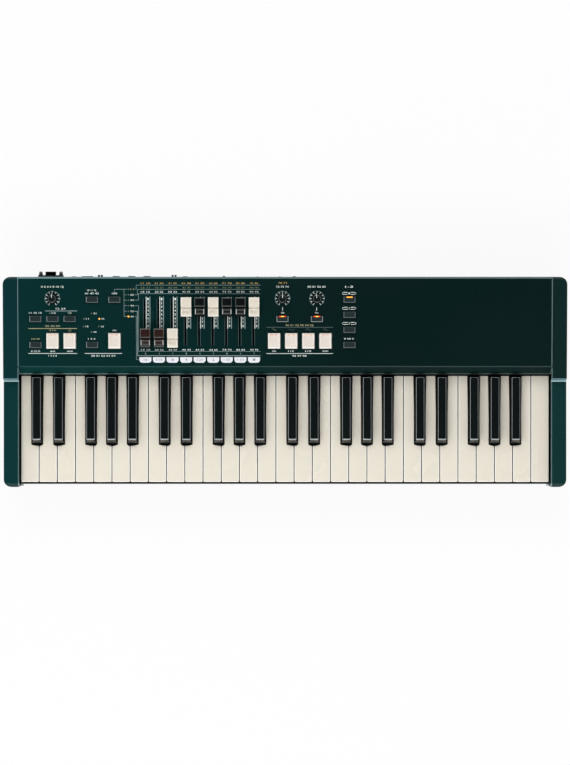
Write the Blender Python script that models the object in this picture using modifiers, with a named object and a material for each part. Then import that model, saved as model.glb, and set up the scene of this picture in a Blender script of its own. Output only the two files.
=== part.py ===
"""A portable organ: 49 waterfall keys, nine drawbars, three dials and twenty push buttons in a slab case.

Run it with blender --background --python part.py. Lengths are in metres, +Z is up, the player sits at -Y,
and the origin is under the middle of the object, on the surface that its feet stand on.
"""

import math

import bmesh
import bpy
from mathutils import Matrix, Vector

MM = 0.001
GAP = 0.3 * MM  # what pieces that seat on each other keep between their faces

# Case. Distances "in" are measured from the front of the cheeks towards the rear.
CASE_WIDTH = 726 * MM
CASE_DEPTH = 271 * MM
SOCKET_REACH = 9 * MM  # the rotary speaker socket stands this far out of the back
CHEEK_WIDTH = 18.5 * MM
CORNER_RADIUS = 10 * MM
FOOT_HEIGHT = 5 * MM
FOOT_RADIUS = 9 * MM
WALL = 1.8 * MM
FRONT_RAIL_IN = 3.0 * MM
FRONT_RAIL_TOP = 33 * MM
REAR_WALL_IN = 269.2 * MM
LUG = (2.7 * MM, 20 * MM, 28 * MM)  # width, foot and top of the lug at each end of the front rail
FRONT_Y = -(CASE_DEPTH + SOCKET_REACH) / 2
INNER_HALF = CASE_WIDTH / 2 - CHEEK_WIDTH  # from the middle to a cheek's inner face

# Control panel: a folded sheet that slopes down to the player
SHEET = 1.6 * MM
SLOPE = math.radians(3.2)
FOLD_IN = 155.9 * MM
FOLD_Z = 77.5 * MM
LIP_IN = 146.8 * MM
LIP_Z = 60.5 * MM
HEM = 1.7 * MM  # the foot of the lip turns forward by this much
PANEL_LENGTH = 112.3 * MM  # from the front fold up the slope to the rear chamfer
REAR_CHAMFER = 3.0 * MM

# Keyboard
OCTAVE = 165 * MM
OCTAVES = 4
PITCH = OCTAVE / 7
KEY_GAP = 0.95 * MM
KEY_TOP = 58 * MM
KEY_FRONT_IN = 6.5 * MM
KEY_LEVER = 190 * MM  # from a white key's front to the hinge line
KEY_HEIGHT = 19 * MM
KEY_TAIL = 25 * MM  # from the rear of a key's body to the hinge line
KEY_WALL = 1.9 * MM
KEY_EDGE = 0.7 * MM
BLACK_WIDTH = 13.2 * MM
BLACK_TOP_WIDTH = 10.6 * MM
BLACK_SIDE_GAP = 1.0 * MM
BLACK_RISE = 11.5 * MM
BLACK_FRONT_IN = 54.8 * MM
BLACK_SLOPE = 7.0 * MM  # how far the front of a black key leans back
BLACK_REAR_IN = 142.2 * MM
HINGE_Z = KEY_TOP - 9.5 * MM
RAIL_WIDTH = 8 * MM
RAIL_THICK = 2.4 * MM
RAIL_STEP = 3.0 * MM  # the three comb rails of an octave lie on each other at this pitch
TONGUE_WIDTH = 8 * MM

# Places on the panel: across from the middle of the case, and up the slope from the front fold
BUTTON_COLUMNS = [-320.9 * MM, -299.0 * MM, -276.9 * MM, -248.0 * MM, -219.3 * MM]
DRIVE_COLUMN = -3.2 * MM
ECHO_COLUMN = 41.1 * MM
PRESET_COLUMN = 82.9 * MM
TAB_FIRST = -14.0 * MM
TAB_PITCH = 22.0 * MM
ROW_DIAL = 87.3 * MM
ROW_TOP = 85.7 * MM
ROW_MIDDLE = 60.9 * MM
ROW_LOW = 27.5 * MM
ROW_TAB = 32.8 * MM
PRESET_PITCH = 19.4 * MM

# Buttons
BUTTON_SIZE = (15.6 * MM, 8.4 * MM)
BUTTON_RISE = 2.2 * MM
TAB_SIZE = (15.5 * MM, 19.5 * MM)
TAB_RISE = 4.2 * MM
TAB_WALL = 1.5 * MM  # the rim round the dished top of a tab
TAB_DISH = 0.9 * MM
BUTTON_CLEARANCE = 0.4 * MM
BUTTON_TRAVEL = 1.5 * MM
BOARD_DEPTH = 10 * MM  # from the panel's face down to the switch board
BOARD_THICK = 1.6 * MM

# Dials
DIAL_RADIUS = 7.0 * MM
DIAL_TOP_RADIUS = 5.0 * MM
DIAL_HEIGHT = 11.0 * MM
SHAFT_RADIUS = 3.0 * MM

# Drawbars
DRAWBAR_COUNT = 9
DRAWBARS_OUT = 3  # the first ones stand pulled out, and the others pushed in
DRAWBAR_FIRST = -179.4 * MM
DRAWBAR_PITCH = 17.46 * MM
DRAWBAR_IN_ROW = 76.6 * MM
DRAWBAR_TRAVEL = 40.0 * MM
CAP_WIDTH = 13.5 * MM
CAP_LENGTH = 24.6 * MM
CAP_FOOT = 0.6 * MM  # above the panel
CAP_HEAD = 11.4 * MM
CAP_PULL = 8.2 * MM  # the part that a finger pulls, in front of the head
CAP_HEAD_FROM = 0.5 * MM  # from the middle of the cap
CAP_GROOVE = 1.0 * MM  # radius
CAP_DISH = (10.1 * MM, 5.8 * MM, 2.2 * MM)
CAP_END = (3.2 * MM, 2.4 * MM)  # the sloping front: length, drop
BLADE = (2.4 * MM, 20 * MM)
SLOT_WIDTH = 3.3 * MM
SLIDER = (13 * MM, 24 * MM, 3.6 * MM)
SLIDER_TOP = -2.9 * MM

# Rear sockets: across from the middle of the case
SOCKET_Z = 45 * MM
PHONE_JACKS = [-219.2 * MM, -199 * MM, -179.2 * MM]
DIN_SOCKETS = [-96.5 * MM, -60.5 * MM]
MINI_JACK = -129.5 * MM
POWER_INLET = -274 * MM
SPEAKER_SOCKET = -303.9 * MM
POWER_SWITCH = -256.3 * MM
ROCKER_TILT = 7  # degrees to each side of level
CORD_HOOKS = [-239.7 * MM, -144 * MM]
ROCKER_SIZE = (12.6 * MM, 18 * MM)

PARTS = bpy.data.collections.new("portable_organ")
CUTTERS = bpy.data.collections.new("cutters")


def from_front(distance):
    """The Y of a point that lies this far in from the front of the cheeks."""
    return FRONT_Y + distance


def clear_scene():
    for obj in list(bpy.data.objects):
        bpy.data.objects.remove(obj)
    for collection in (PARTS, CUTTERS):
        bpy.context.scene.collection.children.link(collection)


def finish_material(name, colour, roughness, metallic=0.0):
    material = bpy.data.materials.new(name)
    material.use_nodes = True
    shader = material.node_tree.nodes["Principled BSDF"]
    shader.inputs["Base Color"].default_value = (*colour, 1)
    shader.inputs["Roughness"].default_value = roughness
    shader.inputs["Metallic"].default_value = metallic
    return material


GREEN = finish_material("green_paint", (0.006, 0.035, 0.036), 0.4)
GREEN_CHEEK = finish_material("green_moulding", (0.007, 0.04, 0.042), 0.45)
IVORY = finish_material("ivory_plastic", (0.8, 0.76, 0.67), 0.3)
BLACK = finish_material("black_plastic", (0.012, 0.013, 0.014), 0.3)
BROWN = finish_material("brown_plastic", (0.045, 0.02, 0.014), 0.35)
CHARCOAL = finish_material("charcoal_rubber", (0.035, 0.037, 0.042), 0.6)
STEEL = finish_material("zinc_steel", (0.5, 0.5, 0.48), 0.4, 1.0)
BOARD = finish_material("circuit_board", (0.02, 0.12, 0.06), 0.5)
FELT = finish_material("red_felt", (0.3, 0.03, 0.03), 0.95)
RUBBER = finish_material("black_rubber", (0.02, 0.02, 0.02), 0.8)
CASE_PLASTIC = finish_material("black_case", (0.015, 0.016, 0.017), 0.55)


def put(obj, material=None, parent=None, helper=False):
    """Files the object as a part or as a hidden cutter, and hangs it on its parent."""
    (CUTTERS if helper else PARTS).objects.link(obj)
    if helper:
        obj.hide_render = True
        obj.display_type = "WIRE"
    if material:
        obj.data.materials.append(material)
    obj.parent = parent
    return obj


def from_bmesh(name, bm):
    bmesh.ops.recalc_face_normals(bm, faces=bm.faces)
    if bm.calc_volume(signed=True) < 0:
        bmesh.ops.reverse_faces(bm, faces=bm.faces)
    mesh = bpy.data.meshes.new(name)
    bm.to_mesh(mesh)
    bm.free()
    return bpy.data.objects.new(name, mesh)


def box(name, low, high):
    """A box between two opposite corners."""
    low, high = Vector(low), Vector(high)
    bm = bmesh.new()
    size = Matrix.Diagonal((*(high - low), 1))
    bmesh.ops.create_cube(bm, size=1, matrix=Matrix.Translation((low + high) / 2) @ size)
    return from_bmesh(name, bm)


def block(name, across, along, low, high, centre=(0, 0)):
    """A box that is across wide and along long about a centre, between two heights."""
    x, y = centre
    return box(name, (x - across / 2, y - along / 2, low), (x + across / 2, y + along / 2, high))


def tapered(name, across, along, low, high, taper, centre=(0, 0)):
    """A block whose foot stands in from its top by the taper on every side."""
    obj = block(name, across, along, low, high, centre)
    for vert in obj.data.vertices:
        if vert.co.z < (low + high) / 2:
            vert.co.x -= math.copysign(taper, vert.co.x - centre[0])
            vert.co.y -= math.copysign(taper, vert.co.y - centre[1])
    return obj


AXES = {
    "X": Matrix(((0, 0, 1, 0), (1, 0, 0, 0), (0, 1, 0, 0), (0, 0, 0, 1))),
    "Y": Matrix(((0, 1, 0, 0), (0, 0, 1, 0), (1, 0, 0, 0), (0, 0, 0, 1))),
    "Z": Matrix.Identity(4),
}


def prism(name, outline, low, high, axis="Z"):
    """An outline extruded from low to high. On axis X its points are (y, z), on Y (z, x), on Z (x, y)."""
    curve = bpy.data.curves.new(name, "CURVE")
    curve.dimensions = "2D"
    curve.fill_mode = "BOTH"
    curve.extrude = (high - low) / 2
    spline = curve.splines.new("POLY")
    spline.points.add(len(outline) - 1)
    for point, (a, b) in zip(spline.points, outline):
        point.co = (a, b, 0, 1)
    spline.use_cyclic_u = True
    guide = bpy.data.objects.new(name, curve)
    CUTTERS.objects.link(guide)
    bpy.context.view_layer.update()
    graph = bpy.context.evaluated_depsgraph_get()
    mesh = bpy.data.meshes.new_from_object(guide.evaluated_get(graph))
    bpy.data.objects.remove(guide)
    bm = bmesh.new()
    bm.from_mesh(mesh)
    bmesh.ops.remove_doubles(bm, verts=bm.verts, dist=0.001 * MM)
    bmesh.ops.dissolve_limit(bm, angle_limit=math.radians(0.5), verts=bm.verts, edges=bm.edges)
    bm.transform(AXES[axis] @ Matrix.Translation((0, 0, (low + high) / 2)))
    return from_bmesh(name, bm)


def rod(name, radius, low, high, segments=16, centre=(0, 0), axis="Z", end_radius=None):
    """A round bar between two heights along an axis, straight or tapered."""
    bm = bmesh.new()
    place = Matrix.Translation((centre[0], centre[1], (low + high) / 2))
    bmesh.ops.create_cone(
        bm,
        cap_ends=True,
        segments=segments,
        radius1=radius,
        radius2=radius if end_radius is None else end_radius,
        depth=high - low,
        matrix=AXES[axis] @ place,
    )
    return from_bmesh(name, bm)


def turned(name, profile, steps):
    """A profile of (radius, height) points turned about Z, given top to bottom down its outer side."""
    bm = bmesh.new()
    points = [bm.verts.new((radius, 0, height)) for radius, height in profile]
    for first, second in zip(points, points[1:]):
        bm.edges.new((first, second))
    mesh = bpy.data.meshes.new(name)
    bm.to_mesh(mesh)
    bm.free()
    obj = bpy.data.objects.new(name, mesh)
    screw = obj.modifiers.new("turn", "SCREW")
    screw.steps = screw.render_steps = steps
    screw.use_merge_vertices = True
    screw.merge_threshold = 0.00001
    return obj


def folded_sheet(name, path, half_width, thickness):
    """A sheet folded along a path of (y, z) points and extruded across the case, its face on the path."""
    bm = bmesh.new()
    rows = [[bm.verts.new((x, y, z)) for y, z in path] for x in (-half_width, half_width)]
    for i in range(len(path) - 1):
        bm.faces.new((rows[0][i], rows[1][i], rows[1][i + 1], rows[0][i + 1]))
    mesh = bpy.data.meshes.new(name)
    bm.to_mesh(mesh)
    bm.free()
    obj = bpy.data.objects.new(name, mesh)
    solidify = obj.modifiers.new("thickness", "SOLIDIFY")
    solidify.thickness = thickness
    solidify.offset = -1
    solidify.use_even_offset = True
    return obj


def combine(obj, operation, helpers):
    """Joins the helpers to the object, or cuts them out of it."""
    group = bpy.data.collections.new(f"{obj.name}_{operation.lower()}")
    CUTTERS.children.link(group)
    for helper in helpers:
        put(helper, parent=obj.parent if helper.parent is None else helper.parent, helper=True)
        CUTTERS.objects.unlink(helper)
        group.objects.link(helper)
    boolean = obj.modifiers.new(operation.lower(), "BOOLEAN")
    boolean.operation = operation
    boolean.operand_type = "COLLECTION"
    boolean.collection = group
    boolean.solver = "EXACT"
    return obj


def smooth(obj, angle=30):
    obj.data.shade_smooth()
    obj.data.set_sharp_from_angle(angle=math.radians(angle))
    return obj


def empty(name, location, tilt=0.0):
    """An empty that carries pieces, tilted about X."""
    obj = bpy.data.objects.new(name, None)
    obj.location = location
    obj.rotation_euler = (tilt, 0, 0)
    PARTS.objects.link(obj)
    return obj


def arc(centre, radius, start, end, steps):
    """Points of an arc between two angles in degrees, both ends included."""
    turns = [math.radians(start + (end - start) * i / steps) for i in range(steps + 1)]
    return [(centre[0] + radius * math.cos(t), centre[1] + radius * math.sin(t)) for t in turns]


def rounded(path, radii, steps):
    """The path with each inner corner replaced by an arc of its own radius."""
    points = [Vector(p) for p in path]
    result = [points[0]]
    for before, corner, after, radius in zip(points, points[1:], points[2:], radii):
        into, out = (corner - before).normalized(), (after - corner).normalized()
        turn = into.angle_signed(out)
        start = corner - into * radius * math.tan(abs(turn) / 2)
        side = Vector((-into.y, into.x)) * math.copysign(radius, -turn)
        centre = start + side
        for i in range(steps + 1):
            swing = Matrix.Rotation(-turn * i / steps, 2)
            result.append(centre + swing @ (start - centre))
    return result + [points[-1]]


def panel_point(up):
    """(distance in, height) of a point of the panel's face this far up its slope from the front fold."""
    return FOLD_IN + up * math.cos(SLOPE), FOLD_Z + up * math.sin(SLOPE)


def make_bottom_case():
    """The tray: floor, front rail and rear wall in one folded form, with cross ribs and cord hooks."""
    toe = 4 * MM
    wall_top = panel_point(PANEL_LENGTH)[1] - SHEET - REAR_CHAMFER - 1 * MM
    path = [
        (FRONT_RAIL_IN, FRONT_RAIL_TOP),
        (FRONT_RAIL_IN, FOOT_HEIGHT + toe),
        (FRONT_RAIL_IN + toe, FOOT_HEIGHT),
        (REAR_WALL_IN - toe, FOOT_HEIGHT),
        (REAR_WALL_IN, FOOT_HEIGHT + toe),
        (REAR_WALL_IN, wall_top),
    ]
    half = INNER_HALF - GAP
    path = [(from_front(y), z) for y, z in path]
    case = put(folded_sheet("bottom_case", path[::-1], half, WALL), CASE_PLASTIC)

    floor = FOOT_HEIGHT + 1 * MM
    rib_top = 8.7 * MM
    added = []
    for i in range(7):
        x = (i - 3) * 108 * MM
        low, high = (x - MM, from_front(10 * MM), floor), (x + MM, from_front(262 * MM), rib_top)
        added.append(box(f"rib_{i}", low, high))
    for i, side in enumerate((-1, 1)):
        ends = sorted((side * half, side * (half - LUG[0])))
        low, high = (ends[0], from_front(0.4 * MM), LUG[1]), (ends[1], from_front(FRONT_RAIL_IN + MM), LUG[2])
        added.append(box(f"lug_{i}", low, high))
    wall_out = from_front(REAR_WALL_IN)
    for i, x in enumerate(CORD_HOOKS):
        hook = [(-0.8, -3), (5.4, -3), (5.4, 5), (3.4, 5), (3.4, -0.6), (-0.8, -0.6)]
        outline = [(wall_out + a * MM, SOCKET_Z + b * MM) for a, b in hook]
        for j, prong in enumerate((x - 3.1 * MM, x + 0.7 * MM)):
            added.append(prism(f"hook_{i}_{j}", outline, prong, prong + 2.4 * MM, "X"))
    combine(case, "UNION", added)

    wall = (from_front(REAR_WALL_IN) - 8 * MM, from_front(REAR_WALL_IN) + 3 * MM)
    round_holes = [(x, 5.4 * MM) for x in PHONE_JACKS] + [(x, 8 * MM) for x in DIN_SOCKETS]
    round_holes += [(x, 3.7 * MM) for x in (MINI_JACK, POWER_INLET)]
    holes = []
    for i, (x, radius) in enumerate(round_holes):
        holes.append(rod(f"round_hole_{i}", radius, *wall, 16, (SOCKET_Z, x), "Y"))
    rocker_across, rocker_tall = ROCKER_SIZE
    windows = [
        (SPEAKER_SOCKET, 16 * MM, 10.6 * MM),
        (POWER_SWITCH, rocker_across + MM, rocker_tall + MM),
    ]
    for i, (x, across, tall) in enumerate(windows):
        low = (x - across / 2, wall[0], SOCKET_Z - tall / 2)
        holes.append(box(f"window_{i}", low, (x + across / 2, wall[1], SOCKET_Z + tall / 2)))
    combine(case, "DIFFERENCE", holes)


def make_top_panel(plane, cuts):
    """The folded control panel, with its front lip over the keys and every cut-out."""
    rear, top = panel_point(PANEL_LENGTH)
    path = [
        (LIP_IN - HEM, LIP_Z),
        (LIP_IN, LIP_Z),
        (FOLD_IN, FOLD_Z),
        (rear, top),
        (rear + REAR_CHAMFER, top - REAR_CHAMFER * 0.9),
        (rear + REAR_CHAMFER, top - REAR_CHAMFER - 7 * MM),
    ]
    path = rounded(path, (0.6 * MM, 2.6 * MM, 2 * MM, 2 * MM), 3)
    path = [(from_front(y), z) for y, z in path]
    panel = put(folded_sheet("top_panel", path, INNER_HALF - GAP, SHEET), GREEN)
    for cut in cuts:
        cut.parent = plane
    return combine(panel, "DIFFERENCE", cuts)


def make_cheek(name, side):
    """An end block: its side outline, stepped down beside the keys, met by its rounded plan."""
    top = 0.5 * MM
    step_in, step_depth, front_top = 139.3 * MM, 3.5 * MM, 69.5 * MM
    step_z = FOLD_Z + top - (FOLD_IN - step_in) * math.tan(SLOPE)
    rear_z = FOLD_Z + top + (CASE_DEPTH - 6 * MM - FOLD_IN) * math.tan(SLOPE)
    nose, heel, shoulder = 6 * MM, 6 * MM, 4 * MM
    outline = arc((nose, FOOT_HEIGHT + nose), nose, 180, 270, 4)
    outline += arc((CASE_DEPTH - heel, FOOT_HEIGHT + heel), heel, 270, 360, 4)
    outline += arc((CASE_DEPTH - shoulder, rear_z - shoulder), shoulder, 0, 90, 3)
    outline += [
        (step_in, step_z),
        (step_in - step_depth, front_top + 1.2 * MM),
        (step_in - step_depth - 1.2 * MM, front_top),
    ]
    outline += arc((nose, front_top - nose), nose, 90, 180, 4)
    outline = [(from_front(y), z) for y, z in outline]
    inner, outer = INNER_HALF, CASE_WIDTH / 2
    low, high = (inner, outer) if side > 0 else (-outer, -inner)
    cheek = put(prism(name, outline, low, high, "X"), GREEN_CHEEK)

    r = CORNER_RADIUS
    plan = [(inner - MM, from_front(0)), (outer - r, from_front(0))]
    plan += arc((outer - r, from_front(r)), r, 270, 360, 6)[1:]
    plan += arc((outer - r, from_front(CASE_DEPTH - r)), r, 0, 90, 6)
    plan += [(inner - MM, from_front(CASE_DEPTH))]
    if side < 0:
        plan = [(-x, y) for x, y in reversed(plan)]
    combine(cheek, "INTERSECT", [prism(f"{name}_plan", plan, 0, 100 * MM)])
    edge = cheek.modifiers.new("edge", "BEVEL")
    edge.width = 1.2 * MM
    edge.segments = 1
    edge.limit_method = "ANGLE"
    edge.angle_limit = math.radians(50)
    return smooth(cheek)


def make_feet():
    places = [(x, y) for y in (26 * MM, 242 * MM) for x in (-300 * MM, 300 * MM)]
    names = ["foot_front_left", "foot_front_right", "foot_rear_left", "foot_rear_right"]
    for name, (x, y) in zip(names, places):
        height, edge = FOOT_HEIGHT - GAP, 1 * MM
        profile = [
            (0, height),
            (FOOT_RADIUS, height),
            (FOOT_RADIUS - 0.6 * MM, edge),
            (FOOT_RADIUS - 1.6 * MM, 0),
            (0, 0),
        ]
        foot = put(turned(name, profile, 16), RUBBER)
        foot.location = (x, from_front(y), 0)


def make_key_chassis():
    """The folded steel frame under the keys, its felt strip and the key contact board."""
    path = [
        (12, 9), (16, 9), (16, 24), (28, 24), (28, 9), (104, 9), (104, 22), (136, 22), (136, 9),
        (189, 9), (189, 41.9), (204, 41.9), (204, 9), (212, 9),
    ]
    path = [(from_front(y * MM), z * MM + 1.5 * MM) for y, z in path]
    half = INNER_HALF - 4 * MM
    put(folded_sheet("key_chassis", path, half, 1.5 * MM), STEEL)
    low, high = (-half, from_front(17 * MM), 25.8 * MM), (half, from_front(27 * MM), 29.2 * MM)
    put(box("key_felt", low, high), FELT)
    low, high = (-half, from_front(107 * MM), 23.8 * MM), (half, from_front(133 * MM), 25.4 * MM)
    board = put(box("contact_board", low, high), BOARD)
    ridge = [(112, 25), (128, 25), (126, 30), (123, 34.6), (117, 34.6), (114, 30)]
    outline = [(from_front(y * MM), z * MM) for y, z in ridge]
    combine(board, "UNION", [prism("rubber_ridge", outline, -half + MM, half - MM, "X")])


def sharp_centres():
    """Where the five black keys of an octave lie, from its left edge."""
    first, second = 3 * PITCH / 5, 4 * PITCH / 7
    return [1.5 * first, 3.5 * first] + [3 * PITCH + n * second for n in (1.5, 3.5, 5.5)]


def key_span(index, octave_left):
    """(front left, front right, rear left, rear right) of a white key of an octave, 7 being the top C."""
    left = octave_left + index * PITCH + KEY_GAP / 2
    right = left + PITCH - KEY_GAP
    tail_left, tail_right = left, right
    half = BLACK_WIDTH / 2 + BLACK_SIDE_GAP
    if index < 7:
        for centre in sharp_centres():
            x = octave_left + centre
            if x - half < left < x + half:
                tail_left = x + half
            if x - half < right < x + half:
                tail_right = x - half
    return left, right, tail_left, tail_right


KEY_FRONT = -KEY_LEVER
KEY_REAR = -KEY_TAIL
NOTCH = BLACK_FRONT_IN - KEY_FRONT_IN - KEY_LEVER - 1.2 * MM  # where the white keys narrow
KEY_TOP_LOCAL = KEY_TOP - HINGE_Z


def white_key(name, span):
    """One white key about the hinge line: a notched slab with its top edge broken."""
    left, right, tail_left, tail_right = span
    outline = [(left, KEY_FRONT), (right, KEY_FRONT)]
    if tail_right < right:
        outline += [(right, NOTCH), (tail_right, NOTCH)]
    outline += [(tail_right, KEY_REAR), (tail_left, KEY_REAR)]
    if tail_left > left:
        outline += [(tail_left, NOTCH), (left, NOTCH)]
    key = prism(name, outline, KEY_TOP_LOCAL - KEY_HEIGHT, KEY_TOP_LOCAL)
    bm = bmesh.new()
    bm.from_mesh(key.data)
    top = KEY_TOP_LOCAL - 0.01 * MM
    rim = [e for e in bm.edges if all(v.co.z > top for v in e.verts)]
    bmesh.ops.bevel(bm, geom=rim, offset=KEY_EDGE, segments=1, affect="EDGES")
    bm.to_mesh(key.data)
    bm.free()
    return key


def black_key(name, centre):
    """One black key about the hinge line: a raised wedge with leaning sides on a plain stem."""
    front = BLACK_FRONT_IN - KEY_FRONT_IN - KEY_LEVER
    rear = BLACK_REAR_IN - KEY_FRONT_IN - KEY_LEVER
    foot = KEY_TOP_LOCAL + 1 * MM
    top = KEY_TOP_LOCAL + BLACK_RISE
    half = BLACK_WIDTH / 2
    raised = box(f"{name}_raised", (centre - half, front, foot - 3 * MM), (centre + half, rear, top))
    inset = half - BLACK_TOP_WIDTH / 2
    bm = bmesh.new()
    bm.from_mesh(raised.data)
    lid = [v for v in bm.verts if v.co.z > foot]
    for v in lid:
        v.co.x += inset if v.co.x < centre else -inset
        v.co.y += BLACK_SLOPE if v.co.y < (front + rear) / 2 else -0.2 * MM
    rim = [e for e in bm.edges if all(v in lid for v in e.verts)]
    bmesh.ops.bevel(bm, geom=rim, offset=0.8 * MM, segments=1, affect="EDGES")
    bm.to_mesh(raised.data)
    bm.free()
    low = (centre - half, front + 0.2 * MM, KEY_TOP_LOCAL - 15 * MM)
    stem = box(f"{name}_stem", low, (centre + half, KEY_REAR, KEY_TOP_LOCAL - 1 * MM))
    return [raised, stem]


def comb_spine(name, centres, level):
    """The rail that joins the keys of a comb, and the tongue by which each key bends on it."""
    low, high = level * RAIL_STEP - RAIL_THICK / 2, level * RAIL_STEP + RAIL_THICK / 2
    half = TONGUE_WIDTH / 2
    ends = min(centres) - half, max(centres) + half
    rail = box(f"{name}_rail", (ends[0], -RAIL_WIDTH / 2, low), (ends[1], RAIL_WIDTH / 2, high))
    tongues = [
        box(f"{name}_tongue_{i}", (x - half, KEY_REAR - 4 * MM, low), (x + half, RAIL_WIDTH / 2 - MM, high))
        for i, x in enumerate(centres)
    ]
    return rail, tongues


def make_comb(name, hinge, bodies, cavities, centres, level, material):
    rail, tongues = comb_spine(name, centres, level)
    comb = put(rail, material, hinge)
    comb.name = name
    combine(comb, "UNION", bodies)
    combine(comb, "DIFFERENCE", cavities)
    flex = combine(comb, "UNION", tongues)
    return flex


def make_white_comb(name, hinge, octave_left, indices, level):
    spans = [key_span(i, octave_left) for i in indices]
    keys = [white_key(f"{name}_key_{i}", span) for i, span in zip(indices, spans)]
    cavities = [
        box(
            f"{name}_hollow_{i}",
            (span[2] + KEY_WALL, KEY_FRONT + KEY_WALL, KEY_TOP_LOCAL - KEY_HEIGHT - MM),
            (span[3] - KEY_WALL, KEY_REAR - 6 * MM, KEY_TOP_LOCAL - KEY_WALL),
        )
        for i, span in zip(indices, spans)
    ]
    centres = [(span[2] + span[3]) / 2 for span in spans]
    make_comb(name, hinge, keys, cavities, centres, level, IVORY)


def make_black_comb(name, hinge, octave_left, level):
    centres = [octave_left + x for x in sharp_centres()]
    bodies = [piece for i, x in enumerate(centres) for piece in black_key(f"{name}_key_{i}", x)]
    half = BLACK_WIDTH / 2 - KEY_WALL
    front = BLACK_FRONT_IN - KEY_FRONT_IN - KEY_LEVER + 4 * MM
    cavities = [
        box(
            f"{name}_hollow_{i}",
            (x - half, front, KEY_TOP_LOCAL - 17 * MM),
            (x + half, KEY_REAR - 6 * MM, KEY_TOP_LOCAL - 3 * MM),
        )
        for i, x in enumerate(centres)
    ]
    make_comb(name, hinge, bodies, cavities, centres, level, BLACK)


def make_keyboard():
    """Each octave has three moulded combs: C E G B, D F A and the sharps. The last holds the top C too."""
    hinge = empty("key_hinge", (0, from_front(KEY_FRONT_IN + KEY_LEVER), HINGE_Z))
    left = -(7 * OCTAVES + 1) * PITCH / 2
    for n in range(OCTAVES):
        octave_left = left + n * OCTAVE
        outer = [0, 2, 4, 6] + ([7] if n == OCTAVES - 1 else [])
        make_white_comb(f"white_keys_c_e_g_b_{n + 1}", hinge, octave_left, outer, -1)
        make_white_comb(f"white_keys_d_f_a_{n + 1}", hinge, octave_left, [1, 3, 5], 0)
        make_black_comb(f"black_keys_{n + 1}", hinge, octave_left, 1)


def button_places():
    """Name, kind, distance across and distance up the slope of every push button."""
    columns = BUTTON_COLUMNS
    places = [
        ("button_transpose", "button", columns[0], ROW_MIDDLE),
        ("button_octave_down", "button", columns[1], ROW_MIDDLE),
        ("button_octave_up", "button", columns[2], ROW_MIDDLE),
        ("button_bypass", "button", columns[0], ROW_LOW),
        ("button_bank", "button", columns[3], ROW_TOP),
        ("button_voice", "button", columns[4], ROW_TOP),
        ("button_mode", "button", columns[3], ROW_LOW),
        ("button_drive", "button", DRIVE_COLUMN, ROW_MIDDLE),
        ("button_echo", "button", ECHO_COLUMN, ROW_MIDDLE),
        ("tab_stop", "tab", columns[1], ROW_TAB),
        ("tab_fast", "tab", columns[2], ROW_TAB),
        ("tab_vibrato", "tab", columns[4], ROW_TAB),
    ]
    presets = ["button_preset_1", "button_preset_2", "button_preset_3", "button_manual"]
    for i, name in enumerate(presets):
        places.append((name, "button", PRESET_COLUMN, ROW_TOP - i * PRESET_PITCH))
    tabs = ["tab_percussion", "tab_soft", "tab_short", "tab_third"]
    places += [(name, "tab", TAB_FIRST + i * TAB_PITCH, ROW_TAB) for i, name in enumerate(tabs)]
    return places


def make_button(name, kind, across, up, plane):
    """A push button: cap, flange under the sheet and plunger, about its own place on the panel."""
    size, rise = (TAB_SIZE, TAB_RISE) if kind == "tab" else (BUTTON_SIZE, BUTTON_RISE)
    under = -SHEET - GAP
    material = IVORY if kind == "tab" else CHARCOAL
    cap = put(block(name, size[0], size[1], under - 0.5 * MM, rise), material, plane)
    cap.location = (across, up, 0)
    edge = cap.modifiers.new("edge", "BEVEL")
    edge.width = 0.9 * MM if kind == "tab" else 0.6 * MM
    edge.segments = 2 if kind == "tab" else 1
    edge.limit_method = "ANGLE"
    flange = block(f"{name}_flange", size[0] + 2.4 * MM, size[1] + 2.4 * MM, under - 1.3 * MM, under)
    plunger = block(f"{name}_plunger", 4 * MM, 4 * MM, -6 * MM, under - MM)
    for helper in (flange, plunger):
        helper.location = cap.location
    combine(cap, "UNION", [flange, plunger])
    if kind == "tab":
        across_dish, along_dish = (s - 2 * TAB_WALL for s in size)
        dish = tapered(f"{name}_dish", across_dish, along_dish, rise - TAB_DISH, rise + 0.3 * MM, 2.4 * MM)
        dish.location = cap.location
        combine(cap, "DIFFERENCE", [dish])
    room = 2 * BUTTON_CLEARANCE
    hole = block(f"{name}_hole", size[0] + room, size[1] + room, -5 * MM, 5 * MM)
    hole.location = cap.location
    return hole


def dial_places():
    return [
        ("dial_volume", BUTTON_COLUMNS[1], ROW_DIAL),
        ("dial_drive", DRIVE_COLUMN, ROW_DIAL),
        ("dial_echo", ECHO_COLUMN, ROW_DIAL),
    ]


def make_dial(name, across, up, plane):
    """A turned dial on its shaft, with a pointer groove across its top."""
    base, shaft_end = 0.8 * MM, -4.6 * MM
    profile = [
        (0, DIAL_HEIGHT),
        (DIAL_TOP_RADIUS - 0.8 * MM, DIAL_HEIGHT),
        (DIAL_TOP_RADIUS, DIAL_HEIGHT - 0.8 * MM),
        (DIAL_TOP_RADIUS + 0.5 * MM, 3.2 * MM),
        (DIAL_RADIUS, 1.8 * MM),
        (DIAL_RADIUS, base),
        (SHAFT_RADIUS, base),
        (SHAFT_RADIUS, shaft_end),
        (0, shaft_end),
    ]
    dial = put(turned(name, profile, 24), BLACK, plane)
    dial.location = (across, up, 0)
    low = (-0.45 * MM, 1.2 * MM, DIAL_HEIGHT - 0.4 * MM)
    groove = box(f"{name}_groove", low, (0.45 * MM, DIAL_RADIUS, DIAL_HEIGHT + MM))
    groove.location = dial.location
    combine(dial, "DIFFERENCE", [groove])
    hole = rod(f"{name}_hole", SHAFT_RADIUS + 0.5 * MM, -5 * MM, 5 * MM, 12)
    hole.location = dial.location
    return hole


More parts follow.
